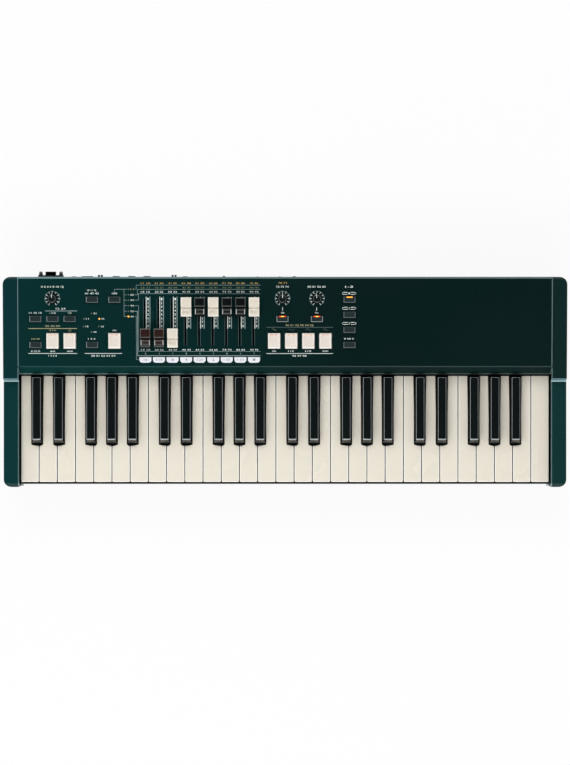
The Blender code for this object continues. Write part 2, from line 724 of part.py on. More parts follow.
def cap_outline():
    """The side of a drawbar cap, as (y, z): crowned head, groove, finger pull and sloping front."""
    half = CAP_LENGTH / 2
    crown = 26 * MM
    reach = (half - CAP_HEAD_FROM) / 2 - MM
    middle = (half + CAP_HEAD_FROM) / 2
    sag = crown - math.sqrt(crown**2 - reach**2)
    spread = math.degrees(math.asin(reach / crown))
    outline = [(half, CAP_FOOT), (half, CAP_HEAD - sag - MM)]
    outline += arc((middle, CAP_HEAD - crown), crown, 90 - spread, 90 + spread, 4)
    outline.append((CAP_HEAD_FROM, CAP_HEAD - sag - MM))
    groove_middle = CAP_HEAD_FROM - 0.3 * MM - CAP_GROOVE
    outline += arc((groove_middle, CAP_PULL - 0.8 * MM), CAP_GROOVE, 360, 180, 4)
    outline.append((groove_middle - CAP_GROOVE - 0.4 * MM, CAP_PULL))
    end_length, end_drop = CAP_END
    outline += [(end_length - half, CAP_PULL), (0.6 * MM - half, CAP_PULL - end_drop)]
    outline += [(-half, CAP_PULL - end_drop - MM), (-half, CAP_FOOT)]
    return outline


def make_drawbar(number, plane):
    """A drawbar: cap, blade through the slot and slider on the guide under the sheet."""
    name = f"drawbar_{number}"
    across = DRAWBAR_FIRST + (number - 1) * DRAWBAR_PITCH
    pulled = DRAWBAR_TRAVEL if number <= DRAWBARS_OUT else 0
    material = BROWN if number <= 2 else IVORY if number in (3, 4, 6, 9) else BLACK
    cap = prism(name, cap_outline(), -CAP_WIDTH / 2, CAP_WIDTH / 2, "X")
    cap = put(cap, material, plane)
    cap.location = (across, DRAWBAR_IN_ROW - pulled, 0)
    edge = cap.modifiers.new("edge", "BEVEL")
    edge.width = 0.6 * MM
    edge.segments = 1
    edge.limit_method = "ANGLE"
    edge.angle_limit = math.radians(60)
    blade = block(f"{name}_blade", *BLADE, SLIDER_TOP - MM, 2 * MM)
    slider = block(f"{name}_slider", SLIDER[0], SLIDER[1], SLIDER_TOP - SLIDER[2], SLIDER_TOP)
    for helper in (blade, slider):
        helper.location = cap.location
    combine(cap, "UNION", [blade, slider])
    across_dish, along_dish, depth = CAP_DISH
    pull_middle = (CAP_END[0] - CAP_LENGTH / 2 + CAP_HEAD_FROM - 2.7 * MM) / 2
    low, high = CAP_PULL - depth, CAP_PULL + 0.4 * MM
    dish = tapered(f"{name}_dish", across_dish, along_dish, low, high, 1.3 * MM, (0, pull_middle))
    dish.location = cap.location
    combine(cap, "DIFFERENCE", [dish])
    slot = block(f"{name}_slot", SLOT_WIDTH, DRAWBAR_TRAVEL + BLADE[1] + MM, -5 * MM, 5 * MM)
    slot.location = (across, DRAWBAR_IN_ROW - DRAWBAR_TRAVEL / 2, 0)
    return slot


def make_drawbar_guide(plane):
    """The tray of ten fins in which the nine sliders run."""
    middle = DRAWBAR_FIRST + (DRAWBAR_COUNT - 1) / 2 * DRAWBAR_PITCH
    up = DRAWBAR_IN_ROW - DRAWBAR_TRAVEL / 2
    across, along = (DRAWBAR_COUNT + 0.2) * DRAWBAR_PITCH, DRAWBAR_TRAVEL + SLIDER[1] + 4 * MM
    floor = SLIDER_TOP - SLIDER[2] - GAP
    guide = put(block("drawbar_guide", across, along, floor - 1.5 * MM, floor), STEEL, plane)
    guide.location = (middle, up, 0)
    fins = []
    for i in range(DRAWBAR_COUNT + 1):
        x = (i - DRAWBAR_COUNT / 2) * DRAWBAR_PITCH
        fin = block(f"fin_{i}", 1.2 * MM, along - 2 * MM, floor - MM, -SHEET - GAP, (x, 0))
        fin.location = guide.location
        fins.append(fin)
    combine(guide, "UNION", fins)


def make_panel_board(plane):
    """The switch board under the panel, cut away round the drawbars, with its switches, pots and posts."""
    top = -BOARD_DEPTH
    left, right, low, high = -336 * MM, 100 * MM, 14 * MM, 106 * MM
    board = put(box("panel_board", (left, low, top - BOARD_THICK), (right, high, top)), BOARD, plane)
    added = []
    for name, kind, x, up in button_places():
        switch_top = -6 * MM - BUTTON_TRAVEL - GAP
        added.append(block(f"{name}_switch", 6 * MM, 6 * MM, top - 0.5 * MM, switch_top, (x, up)))
    for name, x, up in dial_places():
        added.append(block(f"{name}_pot", 10 * MM, 11 * MM, top - 0.5 * MM, -4.6 * MM - GAP, (x, up)))
    for i, x in enumerate((left + 5 * MM, -206 * MM, 16 * MM, right - 5 * MM)):
        for j, up in enumerate((low + 2.6 * MM, high - 4 * MM)):
            added.append(rod(f"post_{i}_{j}", 2.2 * MM, top - 0.5 * MM, -SHEET - GAP, 8, (x, up)))
    combine(board, "UNION", added)
    gone = (DRAWBAR_COUNT + 0.8) * DRAWBAR_PITCH
    middle = DRAWBAR_FIRST + (DRAWBAR_COUNT - 1) / 2 * DRAWBAR_PITCH
    low, high = (middle - gone / 2, 0, top - 5 * MM), (middle + gone / 2, 100 * MM, top + 3 * MM)
    combine(board, "DIFFERENCE", [box("board_window", low, high)])


def make_jack_board():
    """The board behind the rear wall and the sockets that it carries through the wall."""
    wall_in, wall_out = from_front(REAR_WALL_IN - 1.8 * MM), from_front(REAR_WALL_IN)
    face = wall_in - 2 * MM
    low, high = (-285 * MM, face - BOARD_THICK, 32 * MM), (-32 * MM, face, 58 * MM)
    board = put(box("jack_board", low, high), BOARD)
    added, bores, cores = [], [], []
    for i, x in enumerate(PHONE_JACKS):
        added.append(rod(f"bush_{i}", 5.0 * MM, face - MM, wall_out + 3.8 * MM, 16, (SOCKET_Z, x), "Y"))
        added.append(rod(f"nut_{i}", 7.0 * MM, wall_out + GAP, wall_out + 2.6 * MM, 6, (SOCKET_Z, x), "Y"))
        body_low = (x - 7 * MM, face - 16 * MM, SOCKET_Z - 7 * MM)
        added.append(box(f"jack_body_{i}", body_low, (x + 7 * MM, face - 0.5 * MM, SOCKET_Z + 7 * MM)))
        bores.append(rod(f"bore_{i}", 3.3 * MM, face - 13 * MM, wall_out + 6 * MM, 16, (SOCKET_Z, x), "Y"))
    for i, x in enumerate(DIN_SOCKETS):
        added.append(rod(f"din_{i}", 7.5 * MM, face - 6 * MM, wall_out + 1.8 * MM, 16, (SOCKET_Z, x), "Y"))
        bore = 6.7 * MM, face - 4.5 * MM, wall_out + 4 * MM
        bores.append(rod(f"din_bore_{i}", *bore, 16, (SOCKET_Z, x), "Y"))
        cores.append(rod(f"din_core_{i}", 5.2 * MM, face - 5 * MM, wall_out + 3 * MM, 16, (SOCKET_Z, x), "Y"))
    small = ((MINI_JACK, 1.8 * MM, 3.7 * MM), (POWER_INLET, 2.3 * MM, 3.6 * MM))
    for i, (x, radius, reach) in enumerate(small):
        added.append(rod(f"small_{i}", 3.2 * MM, face - 9 * MM, wall_out + reach, 12, (SOCKET_Z, x), "Y"))
        bore = radius, face - 7 * MM, wall_out + 5 * MM
        bores.append(rod(f"small_bore_{i}", *bore, 12, (SOCKET_Z, x), "Y"))
    window = (POWER_SWITCH - 9 * MM, face - 4 * MM, SOCKET_Z - 14 * MM)
    bores.append(box("switch_room", window, (POWER_SWITCH + 9 * MM, face + MM, SOCKET_Z + 11 * MM)))
    combine(board, "UNION", added)
    combine(board, "DIFFERENCE", bores)
    cores.append(rod("inlet_pin", MM, face - 8 * MM, wall_out + MM, 8, (SOCKET_Z, POWER_INLET), "Y"))
    combine(board, "UNION", cores)


def make_speaker_socket():
    """The multi-pin rotary speaker socket: flange block, D-shaped shell and two tapered jack posts."""
    wall_out = from_front(REAR_WALL_IN)
    reach = wall_out + SOCKET_REACH + CASE_DEPTH - REAR_WALL_IN
    x = SPEAKER_SOCKET
    half, tall = 16.4 * MM, 6.2 * MM
    low = (x - half, wall_out + GAP, SOCKET_Z - tall)
    socket = put(box("speaker_socket", low, (x + half, wall_out + 4.6 * MM, SOCKET_Z + tall)), BLACK)
    right = [(5.4, -4.8), (6.6, -3.6), (7.3, 3.2), (6.1, 4.6)]
    shell = right + [(-a, z) for a, z in reversed(right)]
    outline = [(SOCKET_Z - z * MM, x + a * MM) for a, z in shell]
    added = [prism("shell", outline, wall_out + 4 * MM, reach, "Y")]
    added.append(prism("rear_boss", [(z, a) for z, a in outline], wall_out - 6 * MM, wall_out + MM, "Y"))
    root = [(-9.6, 4), (9.6, 4), (9.6, 4.8), (7, 7.4), (-7, 7.4), (-9.6, 4.8)]
    root = [(x + a * MM, wall_out + b * MM) for a, b in root]
    added.append(prism("shell_root", root, SOCKET_Z - 4.4 * MM, SOCKET_Z + 4.2 * MM))
    for i, side in enumerate((-1, 1)):
        centre = (SOCKET_Z, x + side * 13.1 * MM)
        added.append(rod(f"jack_post_{i}", 3.0 * MM, wall_out + 4 * MM, reach, 8, centre, "Y", 2.2 * MM))
    combine(socket, "UNION", added)


def make_power_switch():
    """The rocker of the mains switch, which tilts about a level axis in the rear wall."""
    place = (POWER_SWITCH, from_front(REAR_WALL_IN) - 2 * MM, SOCKET_Z)
    pivot = empty("switch_pivot", place, math.radians(ROCKER_TILT))
    across, _ = ROCKER_SIZE
    outline = [(-4.5, -6.5), (1.5, -8.4), (5.4, -8.2), (3.8, 0), (5.4, 8.2), (1.5, 8.4), (-4.5, 6.5)]
    half = across / 2 - 0.3 * MM
    put(prism("power_switch", [(y * MM, z * MM) for y, z in outline], -half, half, "X"), BLACK, pivot)


def main():
    clear_scene()
    _, fold_z = panel_point(0)
    plane = empty("panel_plane", (0, from_front(FOLD_IN), fold_z), SLOPE)
    cuts = [make_button(*place, plane) for place in button_places()]
    cuts += [make_dial(*place, plane) for place in dial_places()]
    cuts += [make_drawbar(n, plane) for n in range(1, DRAWBAR_COUNT + 1)]
    make_top_panel(plane, cuts)
    make_drawbar_guide(plane)
    make_panel_board(plane)
    make_cheek("cheek_left", -1)
    make_cheek("cheek_right", 1)
    make_bottom_case()
    make_feet()
    make_key_chassis()
    make_keyboard()
    make_jack_board()
    make_speaker_socket()
    make_power_switch()


main()
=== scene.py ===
import math

import bmesh
import bpy
from mathutils import Matrix, Vector


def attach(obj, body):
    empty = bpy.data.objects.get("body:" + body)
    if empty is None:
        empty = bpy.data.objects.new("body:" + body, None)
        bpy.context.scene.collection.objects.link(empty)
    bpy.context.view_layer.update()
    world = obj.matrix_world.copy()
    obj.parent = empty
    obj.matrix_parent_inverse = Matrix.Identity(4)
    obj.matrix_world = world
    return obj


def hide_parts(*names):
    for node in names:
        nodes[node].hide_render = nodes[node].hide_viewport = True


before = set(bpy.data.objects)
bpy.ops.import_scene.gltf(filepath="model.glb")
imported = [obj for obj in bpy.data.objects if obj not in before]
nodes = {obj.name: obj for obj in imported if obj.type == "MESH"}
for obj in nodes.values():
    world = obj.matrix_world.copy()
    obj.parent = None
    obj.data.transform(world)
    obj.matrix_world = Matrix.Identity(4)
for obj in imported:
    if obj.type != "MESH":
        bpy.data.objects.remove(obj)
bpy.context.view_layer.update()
scene = bpy.context.scene
mm = 0.001
print("frame loaded,", len(nodes), "nodes")

# The case, in mm. "In" is measured from the front of the end blocks towards the rear.
case = {
    "frontY": -140.0,
    "innerHalf": 344.5,  # from the middle to an end block's inner face
    "outerHalf": 363.0,
    "depth": 271.0,
    "slope": math.radians(3.2),
    "foldIn": 155.9,
    "foldZ": 77.5,
    "wallIn": 269.2,  # outer face of the rear wall
    "socketZ": 45.0,
}


def fromFront(distance):
    return case["frontY"] + distance


# Across runs from the middle of the case, up runs from the panel's front fold towards the rear
panelPlane = (
    Matrix.Translation((0, fromFront(case["foldIn"]) * mm, case["foldZ"] * mm))
    @ Matrix.Rotation(case["slope"], 4, "X")
    @ Matrix.Scale(mm, 4)
)
whole = Matrix.Scale(mm, 4)


def linear(colour):
    tones = [c / 255 for c in colour]
    return (*[c / 12.92 if c <= 0.04045 else ((c + 0.055) / 1.055) ** 2.4 for c in tones], 1)


def addNode(tree, kind, inputs=None, **settings):
    # Each input takes a value, or the output that is to be linked to it
    node = tree.nodes.new(kind)
    for name, value in settings.items():
        setattr(node, name, value)
    for socket, value in (inputs or {}).items():
        if isinstance(value, bpy.types.NodeSocket):
            tree.links.new(value, node.inputs[socket])
        else:
            node.inputs[socket].default_value = value
    return node


def addMath(tree, operation, *values, clamp=False):
    sums = addNode(tree, "ShaderNodeMath", dict(enumerate(values)), operation=operation, use_clamp=clamp)
    return sums.outputs["Value"]


def newGroup(name, inputs, outputs):
    # A shader group; all its sockets are plain values
    group = bpy.data.node_groups.new(name, "ShaderNodeTree")
    for label, value in inputs.items():
        socket = group.interface.new_socket(name=label, in_out="INPUT", socket_type="NodeSocketFloat")
        socket.default_value = value
    for label in outputs:
        group.interface.new_socket(name=label, in_out="OUTPUT", socket_type="NodeSocketFloat")
    return group, group.nodes.new("NodeGroupInput"), group.nodes.new("NodeGroupOutput")


def makeGrainGroup():
    # Fine grain for the bump, and soft patches for tone and polish
    group, source, sink = newGroup("mouldedGrain", {"Grain Scale": 900, "Patch Scale": 12}, ["Height", "Patches"])
    place = addNode(group, "ShaderNodeTexCoord").outputs["Object"]
    for scale, detail, result in (("Grain Scale", 3, "Height"), ("Patch Scale", 2, "Patches")):
        inputs = {"Vector": place, "Scale": source.outputs[scale], "Detail": detail}
        noise = addNode(group, "ShaderNodeTexNoise", inputs)
        group.links.new(noise.outputs["Fac"], sink.inputs[result])
    return group


def makeDustGroup():
    # Fine dust that settles on faces that look up, thickest where the patches are
    group, source, sink = newGroup("settledDust", {"Amount": 0.1, "Patches": 0.5}, ["Dust"])
    normal = addNode(group, "ShaderNodeNewGeometry").outputs["Normal"]
    split = addNode(group, "ShaderNodeSeparateXYZ", {"Vector": normal})
    span = {"Value": split.outputs["Z"], "From Min": 0.3, "From Max": 1.0}
    upward = addNode(group, "ShaderNodeMapRange", span).outputs["Result"]
    place = addNode(group, "ShaderNodeTexCoord").outputs["Object"]
    speck = addNode(group, "ShaderNodeTexNoise", {"Vector": place, "Scale": 260, "Detail": 4})
    dust = speck.outputs["Fac"]
    for factor in (source.outputs["Patches"], upward, source.outputs["Amount"]):
        dust = addMath(group, "MULTIPLY", dust, factor)
    group.links.new(dust, sink.inputs["Dust"])
    return group


def makeDriftGroup():
    # Painted shade: the tone darkens from the left end of the case to the right, standing for the light falling off
    # across it, broken up by the patches
    group, source, sink = newGroup("paintedShadeDrift", {"Start": -0.34, "End": 0.13, "Patches": 0.5}, ["Drift"])
    place = addNode(group, "ShaderNodeTexCoord").outputs["Object"]
    split = addNode(group, "ShaderNodeSeparateXYZ", {"Vector": place})
    span = {"Value": split.outputs["X"], "From Min": source.outputs["Start"], "From Max": source.outputs["End"]}
    along = addNode(group, "ShaderNodeMapRange", span).outputs["Result"]
    mottle = 0.16  # how far the patches break the drift up
    drift = addMath(group, "MULTIPLY_ADD", source.outputs["Patches"], mottle, along, clamp=True)
    group.links.new(drift, sink.inputs["Drift"])
    return group


grainGroup = makeGrainGroup()
dustGroup = makeDustGroup()
paintedShadeGroup = makeDriftGroup()
dustColour = (150, 150, 145)


def mixTone(tree, below, above, factor):
    inputs = {"A": below, "B": above, "Factor": factor}
    return addNode(tree, "ShaderNodeMix", inputs, data_type="RGBA").outputs["Result"]


def finish(name, look):
    material = bpy.data.materials.new(name)
    material.use_nodes = True
    tree = material.node_tree
    scales = {"Grain Scale": look["grain"], "Patch Scale": look["patch"]}
    grain = addNode(tree, "ShaderNodeGroup", scales, node_tree=grainGroup)
    patches = grain.outputs["Patches"]
    amount = {"Amount": look.get("dust", 0), "Patches": patches}
    dust = addNode(tree, "ShaderNodeGroup", amount, node_tree=dustGroup)
    tone = mixTone(tree, linear(look["colour"]), linear(look["second"]), patches)
    # Painted shade: the colour drifts to a darker right-end tone across the case
    if "paintedShadeRightEnd" in look:
        drift = addNode(tree, "ShaderNodeGroup", {"Patches": patches}, node_tree=paintedShadeGroup)
        tone = mixTone(tree, tone, linear(look["paintedShadeRightEnd"]), drift.outputs["Drift"])
    if "rearFrom" in look:
        place = addNode(tree, "ShaderNodeTexCoord").outputs["Object"]
        split = addNode(tree, "ShaderNodeSeparateXYZ", {"Vector": place})
        beyond = addMath(tree, "GREATER_THAN", split.outputs["Y"], look["rearFrom"])
        tone = mixTone(tree, tone, linear(look["rearColour"]), beyond)
    tone = mixTone(tree, tone, linear(dustColour), dust.outputs["Dust"])
    low, high = look["rough"]
    span = {"Value": patches, "From Min": 0.3, "From Max": 0.7, "To Min": low, "To Max": high}
    polish = addNode(tree, "ShaderNodeMapRange", span)
    relief = {"Height": grain.outputs["Height"], "Strength": look.get("bumpStrength", 0.35)}
    bump = addNode(tree, "ShaderNodeBump", {**relief, "Distance": look["bump"] * mm})
    sockets = tree.nodes["Principled BSDF"].inputs
    tree.links.new(tone, sockets["Base Color"])
    tree.links.new(polish.outputs["Result"], sockets["Roughness"])
    tree.links.new(bump.outputs["Normal"], sockets["Normal"])
    sockets["Specular IOR Level"].default_value = look["specular"]
    sockets["Metallic"].default_value = look.get("metal", 0)
    if "glow" in look:
        sockets["Emission Color"].default_value = linear(look["colour"])
        sockets["Emission Strength"].default_value = look["glow"]
    return material


# One row for each finish: its own colour and that of its patches, the range of its roughness, the scales of
# grain and patches, the depth of the bump in mm, the specular level, and what only some finishes have
finishColumns = ("colour", "second", "rough", "grain", "patch", "bump", "specular")
finishRows = {
    # Painted shade: the finishes with a right-end tone grow darker towards the right end of the case
    "greenPaint": ((4, 47, 46), (4, 44, 43), (0.25, 0.31), 1600, 7, 0.012, 0.2, {"paintedShadeRightEnd": (7, 28, 28)}),
    # The lip's finish is a lighter, matte copy of the paint for the sloping lip: painted light. The edge, fold, hem and
    # end finishes are lighter copies for the rear chamfer, the fold, the hem and the sheet's rounded ends: painted
    # highlights.
    "paintedLightGreenLip": ((11, 59, 57), (10, 56, 54), (0.66, 0.76), 1600, 7, 0.012, 0.03, {"paintedShadeRightEnd": (17, 37, 36)}),
    "paintedHighlightGreenEdge": ((108, 144, 147), (96, 132, 135), (0.3, 0.36), 1600, 40, 0.008, 0.5, {"paintedShadeRightEnd": (66, 92, 92)}),
    "paintedHighlightGreenFold": ((13, 68, 67), (10, 63, 62), (0.3, 0.36), 1600, 40, 0.008, 0.15, {"paintedShadeRightEnd": (44, 62, 62)}),
    "paintedHighlightGreenHem": ((120, 152, 151), (108, 140, 139), (0.3, 0.36), 1600, 40, 0.008, 0.5, {"paintedShadeRightEnd": (60, 76, 73)}),
    "paintedHighlightGreenEnd": ((102, 132, 134), (92, 122, 124), (0.3, 0.36), 1600, 40, 0.008, 0.5, {"paintedShadeRightEnd": (104, 126, 127)}),
    # The front top of the end blocks takes a lighter copy of the moulding: painted light. The rib's edge, the step face
    # and the step glint are painted highlights.
    "greenMoulding": ((11, 49, 52), (9, 47, 50), (0.26, 0.33), 1300, 9, 0.015, 0.12, {"paintedShadeRightEnd": (15, 38, 38)}),
    "paintedLightGreenMouldingFront": ((13, 53, 54), (11, 50, 51), (0.26, 0.33), 1300, 9, 0.015, 0.12, {"paintedShadeRightEnd": (17, 50, 50)}),
    "paintedHighlightMouldingEdge": ((92, 116, 118), (80, 104, 106), (0.24, 0.3), 1300, 30, 0.01, 1.0),
    "paintedHighlightStepFace": ((100, 134, 139), (92, 126, 131), (0.3, 0.36), 1300, 30, 0.01, 0.5),
    "stepGlint": ((168, 196, 202), (154, 184, 190), (0.24, 0.3), 1300, 30, 0.01, 0.8),
    "ivoryKey": ((235, 229, 215), (231, 224, 209), (0.2, 0.3), 700, 16, 0.006, 0.5),
    # The white keys' rim finish is a brighter copy of the ivory, a painted highlight; the side finish is a dark copy,
    # painted shade in the gaps between the keys.
    "paintedHighlightIvoryKeyRim": ((253, 251, 246), (250, 246, 239), (0.22, 0.3), 700, 40, 0.004, 0.5),
    "paintedShadeIvoryKeySide": ((84, 79, 70), (76, 72, 64), (0.4, 0.5), 700, 40, 0.006, 0.3),
    "blackKey": ((13, 18, 19), (17, 22, 22), (0.16, 0.22), 900, 20, 0.006, 0.45),
    # The black keys' side finish is darker and duller than the key, painted shade; the slope, edge, dim edge and glint
    # finishes are lighter copies, painted highlights.
    "blackKeySide": ((5, 7, 8), (7, 9, 10), (0.65, 0.75), 900, 40, 0.004, 0.03),
    "blackKeySlope": ((30, 35, 31), (25, 29, 27), (0.26, 0.36), 900, 60, 0.006, 0.8),
    "paintedHighlightBlackKeyEdge": ((150, 155, 158), (122, 127, 130), (0.2, 0.3), 900, 60, 0.006, 1.0),
    "paintedHighlightBlackKeyEdgeDim": ((134, 140, 142), (96, 102, 104), (0.24, 0.34), 900, 60, 0.006, 0.8),
    "blackKeyGlint": ((204, 211, 210), (160, 168, 166), (0.2, 0.3), 900, 24, 0.006, 0.8),
    "ivoryCap": ((224, 216, 202), (218, 209, 194), (0.28, 0.38), 900, 60, 0.01, 0.5),
    # The caps' ivory rim is a brighter copy of the ivory: painted highlight.
    "paintedHighlightIvoryRim": ((242, 238, 228), (236, 230, 219), (0.26, 0.34), 900, 80, 0.006, 0.5),
    "ivoryTabDish": ((229, 219, 210), (225, 215, 204), (0.3, 0.4), 900, 60, 0.01, 0.5),
    # The ivory tabs' rim is a brighter copy of the ivory: painted highlight.
    "paintedHighlightIvoryTabRim": ((253, 250, 244), (250, 246, 238), (0.26, 0.34), 900, 80, 0.006, 0.5),
    "brownCap": ((50, 30, 26), (38, 24, 22), (0.2, 0.28), 900, 90, 0.01, 0.6),
    "blackCap": ((12, 18, 18), (9, 13, 14), (0.18, 0.26), 900, 60, 0.01, 0.6),
    # The caps' dark front end is painted shade; the pale lines and the glints are painted highlights.
    "paintedShadeCapEnd": ((8, 12, 12), (6, 9, 9), (0.5, 0.6), 900, 60, 0.01, 0.1),
    "paintedHighlightCapLine": ((92, 96, 92), (76, 79, 76), (0.24, 0.32), 900, 90, 0.008, 0.8),
    "capGlint": ((196, 204, 200), (172, 180, 176), (0.22, 0.3), 900, 90, 0.008, 0.8),
    "charcoalRubber": ((27, 41, 43), (24, 37, 39), (0.4, 0.5), 1500, 80, 0.02, 0.3),
    # The button rims are lighter copies of the rubber, pale and dim: painted highlights; the dark rim is painted shade.
    "paintedHighlightButtonRim": ((146, 156, 158), (130, 141, 143), (0.35, 0.45), 1500, 90, 0.008, 0.5),
    "paintedHighlightButtonRimDim": ((104, 114, 118), (90, 100, 104), (0.35, 0.45), 1500, 90, 0.008, 0.5),
    "paintedShadeButtonRimDark": ((52, 66, 69), (46, 59, 62), (0.35, 0.45), 1500, 90, 0.008, 0.3),
    "knobBlack": ((10, 20, 22), (8, 17, 18), (0.4, 0.5), 900, 60, 0.01, 0.12),
    # A paler copy of the knob black for the crown's rounded edge: painted highlight.
    "paintedHighlightKnobEdge": ((78, 86, 88), (66, 74, 76), (0.24, 0.32), 900, 60, 0.008, 0.8),
    "slotLiner": ((7, 10, 11), (11, 13, 14), (0.7, 0.82), 1200, 60, 0.02, 0.1),
    "zincSteel": ((186, 188, 186), (165, 168, 168), (0.3, 0.45), 400, 30, 0.01, 0.5, {"dust": 0.05, "metal": 1}),
    "chassisSteel": ((44, 47, 49), (36, 39, 41), (0.4, 0.5), 400, 30, 0.01, 0.5, {"dust": 0.05, "metal": 1}),
    "nickelPlate": ((200, 198, 192), (180, 178, 172), (0.16, 0.28), 600, 90, 0.006, 0.5, {"dust": 0.02, "metal": 1}),
    "blackenedSteel": ((48, 48, 50), (38, 38, 40), (0.3, 0.42), 800, 120, 0.01, 0.5, {"dust": 0.05, "metal": 1}),
    "goldPin": ((222, 184, 104), (205, 165, 88), (0.2, 0.3), 600, 200, 0.004, 0.5, {"metal": 1}),
    "boardGreen": ((26, 84, 52), (21, 72, 46), (0.35, 0.45), 500, 50, 0.02, 0.5, {"dust": 0.05}),
    "jackBoardFinish": ((26, 84, 52), (21, 72, 46), (0.32, 0.42), 500, 50, 0.015, 0.5,
                        {"rearFrom": 0.1257, "rearColour": (30, 31, 33), "dust": 0.03}),
    "redFelt": ((128, 34, 36), (108, 28, 32), (0.9, 1.0), 1500, 80, 0.25, 0.5, {"bumpStrength": 0.8, "dust": 0.05}),
    # A near-black felt for the strip that stands in for the lip's shadow on the keys: painted shadow.
    "blackFelt": ((9, 10, 11), (14, 15, 15), (0.9, 1.0), 1500, 80, 0.2, 0.05, {"bumpStrength": 0.8}),
    "footRubber": ((30, 30, 31), (38, 38, 38), (0.75, 0.9), 1200, 90, 0.05, 0.5, {"dust": 0.2}),
    "caseShell": ((22, 24, 26), (27, 29, 30), (0.52, 0.64), 1500, 14, 0.05, 0.5, {"bumpStrength": 0.6, "dust": 0.08}),
    "paleSteel": ((206, 214, 214), (192, 200, 200), (0.36, 0.46), 900, 90, 0.01, 0.5),
    "socketBlack": ((24, 25, 27), (32, 33, 34), (0.28, 0.4), 1100, 90, 0.012, 0.7, {"dust": 0.03}),
}
inkTones = {
    "white": ((232, 240, 236), (214, 225, 220)),
    "grey": ((136, 156, 157), (118, 140, 141)),
    "faint": ((74, 93, 95), (62, 80, 82)),
    "gold": ((174, 168, 128), (158, 153, 114)),
    "orange": ((206, 170, 98), (184, 150, 84)),
    "olive": ((128, 142, 104), (108, 126, 92)),
    "tab": ((232, 234, 240), (222, 224, 232)),
    "tabText": ((150, 154, 166), (136, 140, 152)),
}
for ink, tones in inkTones.items():
    finishRows[f"{ink}Ink"] = (*tones, (0.55, 0.68), 2200, 150, 0.01, 0.5)
litTones = {"amberLit": ((250, 164, 52), 1.05), "redLit": ((238, 66, 18), 1.0), "yellowLit": ((255, 214, 84), 1.3)}
for lens, (tone, glow) in litTones.items():
    finishRows[lens] = (tone, tone, (0.2, 0.3), 500, 300, 0.03, 0.5, {"dust": 0.1, "glow": glow})
lensTones = {
    "lensIdle": ((232, 138, 98), (222, 118, 80)),
    "lensAmberIdle": ((232, 170, 84), (220, 152, 66)),
    "lensDark": ((120, 132, 126), (96, 108, 104)),
}
for lens, tones in lensTones.items():
    finishRows[lens] = (*tones, (0.2, 0.3), 900, 12, 0.03, 0.5, {"dust": 0.1})

finishes = {}
for name, row in finishRows.items():
    look = dict(zip(finishColumns, row))
    look.update(*row[len(finishColumns):])
    finishes[name] = finish(name, look)
print(len(finishes), "finishes made")


def toMesh(name, bm):
    mesh = bpy.data.meshes.new(name)
    bm.to_mesh(mesh)
    bm.free()
    return mesh


def toScene(name, data):
    thing = bpy.data.objects.new(name, data)
    scene.collection.objects.link(thing)
    return thing


def modify(piece, name, kind, **settings):
    modifier = piece.modifiers.new(name, kind)
    for key, value in settings.items():
        setattr(modifier, key, value)


def toObject(name, bm, looks, place=whole, body="case", sharp=38, even=True, flat=None):
    # Writes a mesh that was made in mm, places it, shades it and hangs it on its body; edges at the
    # height flat stay sharp, so that a broad flat top keeps its one normal
    bm.transform(place)
    bmesh.ops.recalc_face_normals(bm, faces=bm.faces)
    mesh = toMesh(name, bm)
    for look in [looks] if isinstance(looks, str) else looks:
        mesh.materials.append(finishes[look])
    mesh.shade_smooth()
    mesh.set_sharp_from_angle(angle=math.radians(sharp))
    if flat is not None:
        for edge in mesh.edges:
            if all(abs(mesh.vertices[v].co.z - flat * mm) < 1e-6 for v in edge.vertices):
                edge.use_edge_sharp = True
    piece = toScene(name, mesh)
    if even:
        modify(piece, "evenShading", "WEIGHTED_NORMAL", keep_sharp=True, weight=90)
    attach(piece, body)
    return piece


def addBox(bm, low, high, material=0, place=None):
    low, high = Vector(low), Vector(high)
    size = Matrix.Diagonal((*(high - low), 1))
    made = bmesh.ops.create_cube(bm, size=1, matrix=Matrix.Translation((low + high) / 2) @ size)
    return tagged(bm, made["verts"], material, place)


def addRod(bm, radius, low, high, centre=(0, 0), turn=None, segments=32, endRadius=None, material=0):
    made = bmesh.ops.create_cone(
        bm,
        cap_ends=True,
        segments=segments,
        radius1=radius,
        radius2=radius if endRadius is None else endRadius,
        depth=high - low,
        matrix=Matrix.Translation((centre[0], centre[1], (low + high) / 2)),
    )
    return tagged(bm, made["verts"], material, turn)


def tagged(bm, verts, material, place):
    for face in {f for v in verts for f in v.link_faces}:
        face.material_index = material
    if place:
        bmesh.ops.transform(bm, matrix=place, verts=verts)
    return verts


def addPrism(bm, outline, low, high, material=0, place=None):
    # A closed outline of (x, y) points between two heights
    bottom = [bm.verts.new((x, y, low)) for x, y in outline]
    top = [bm.verts.new((x, y, high)) for x, y in outline]
    count = len(outline)
    bm.faces.new(bottom[::-1])
    bm.faces.new(top)
    for i in range(count):
        j = (i + 1) % count
        bm.faces.new((bottom[i], bottom[j], top[j], top[i]))
    return tagged(bm, bottom + top, material, place)


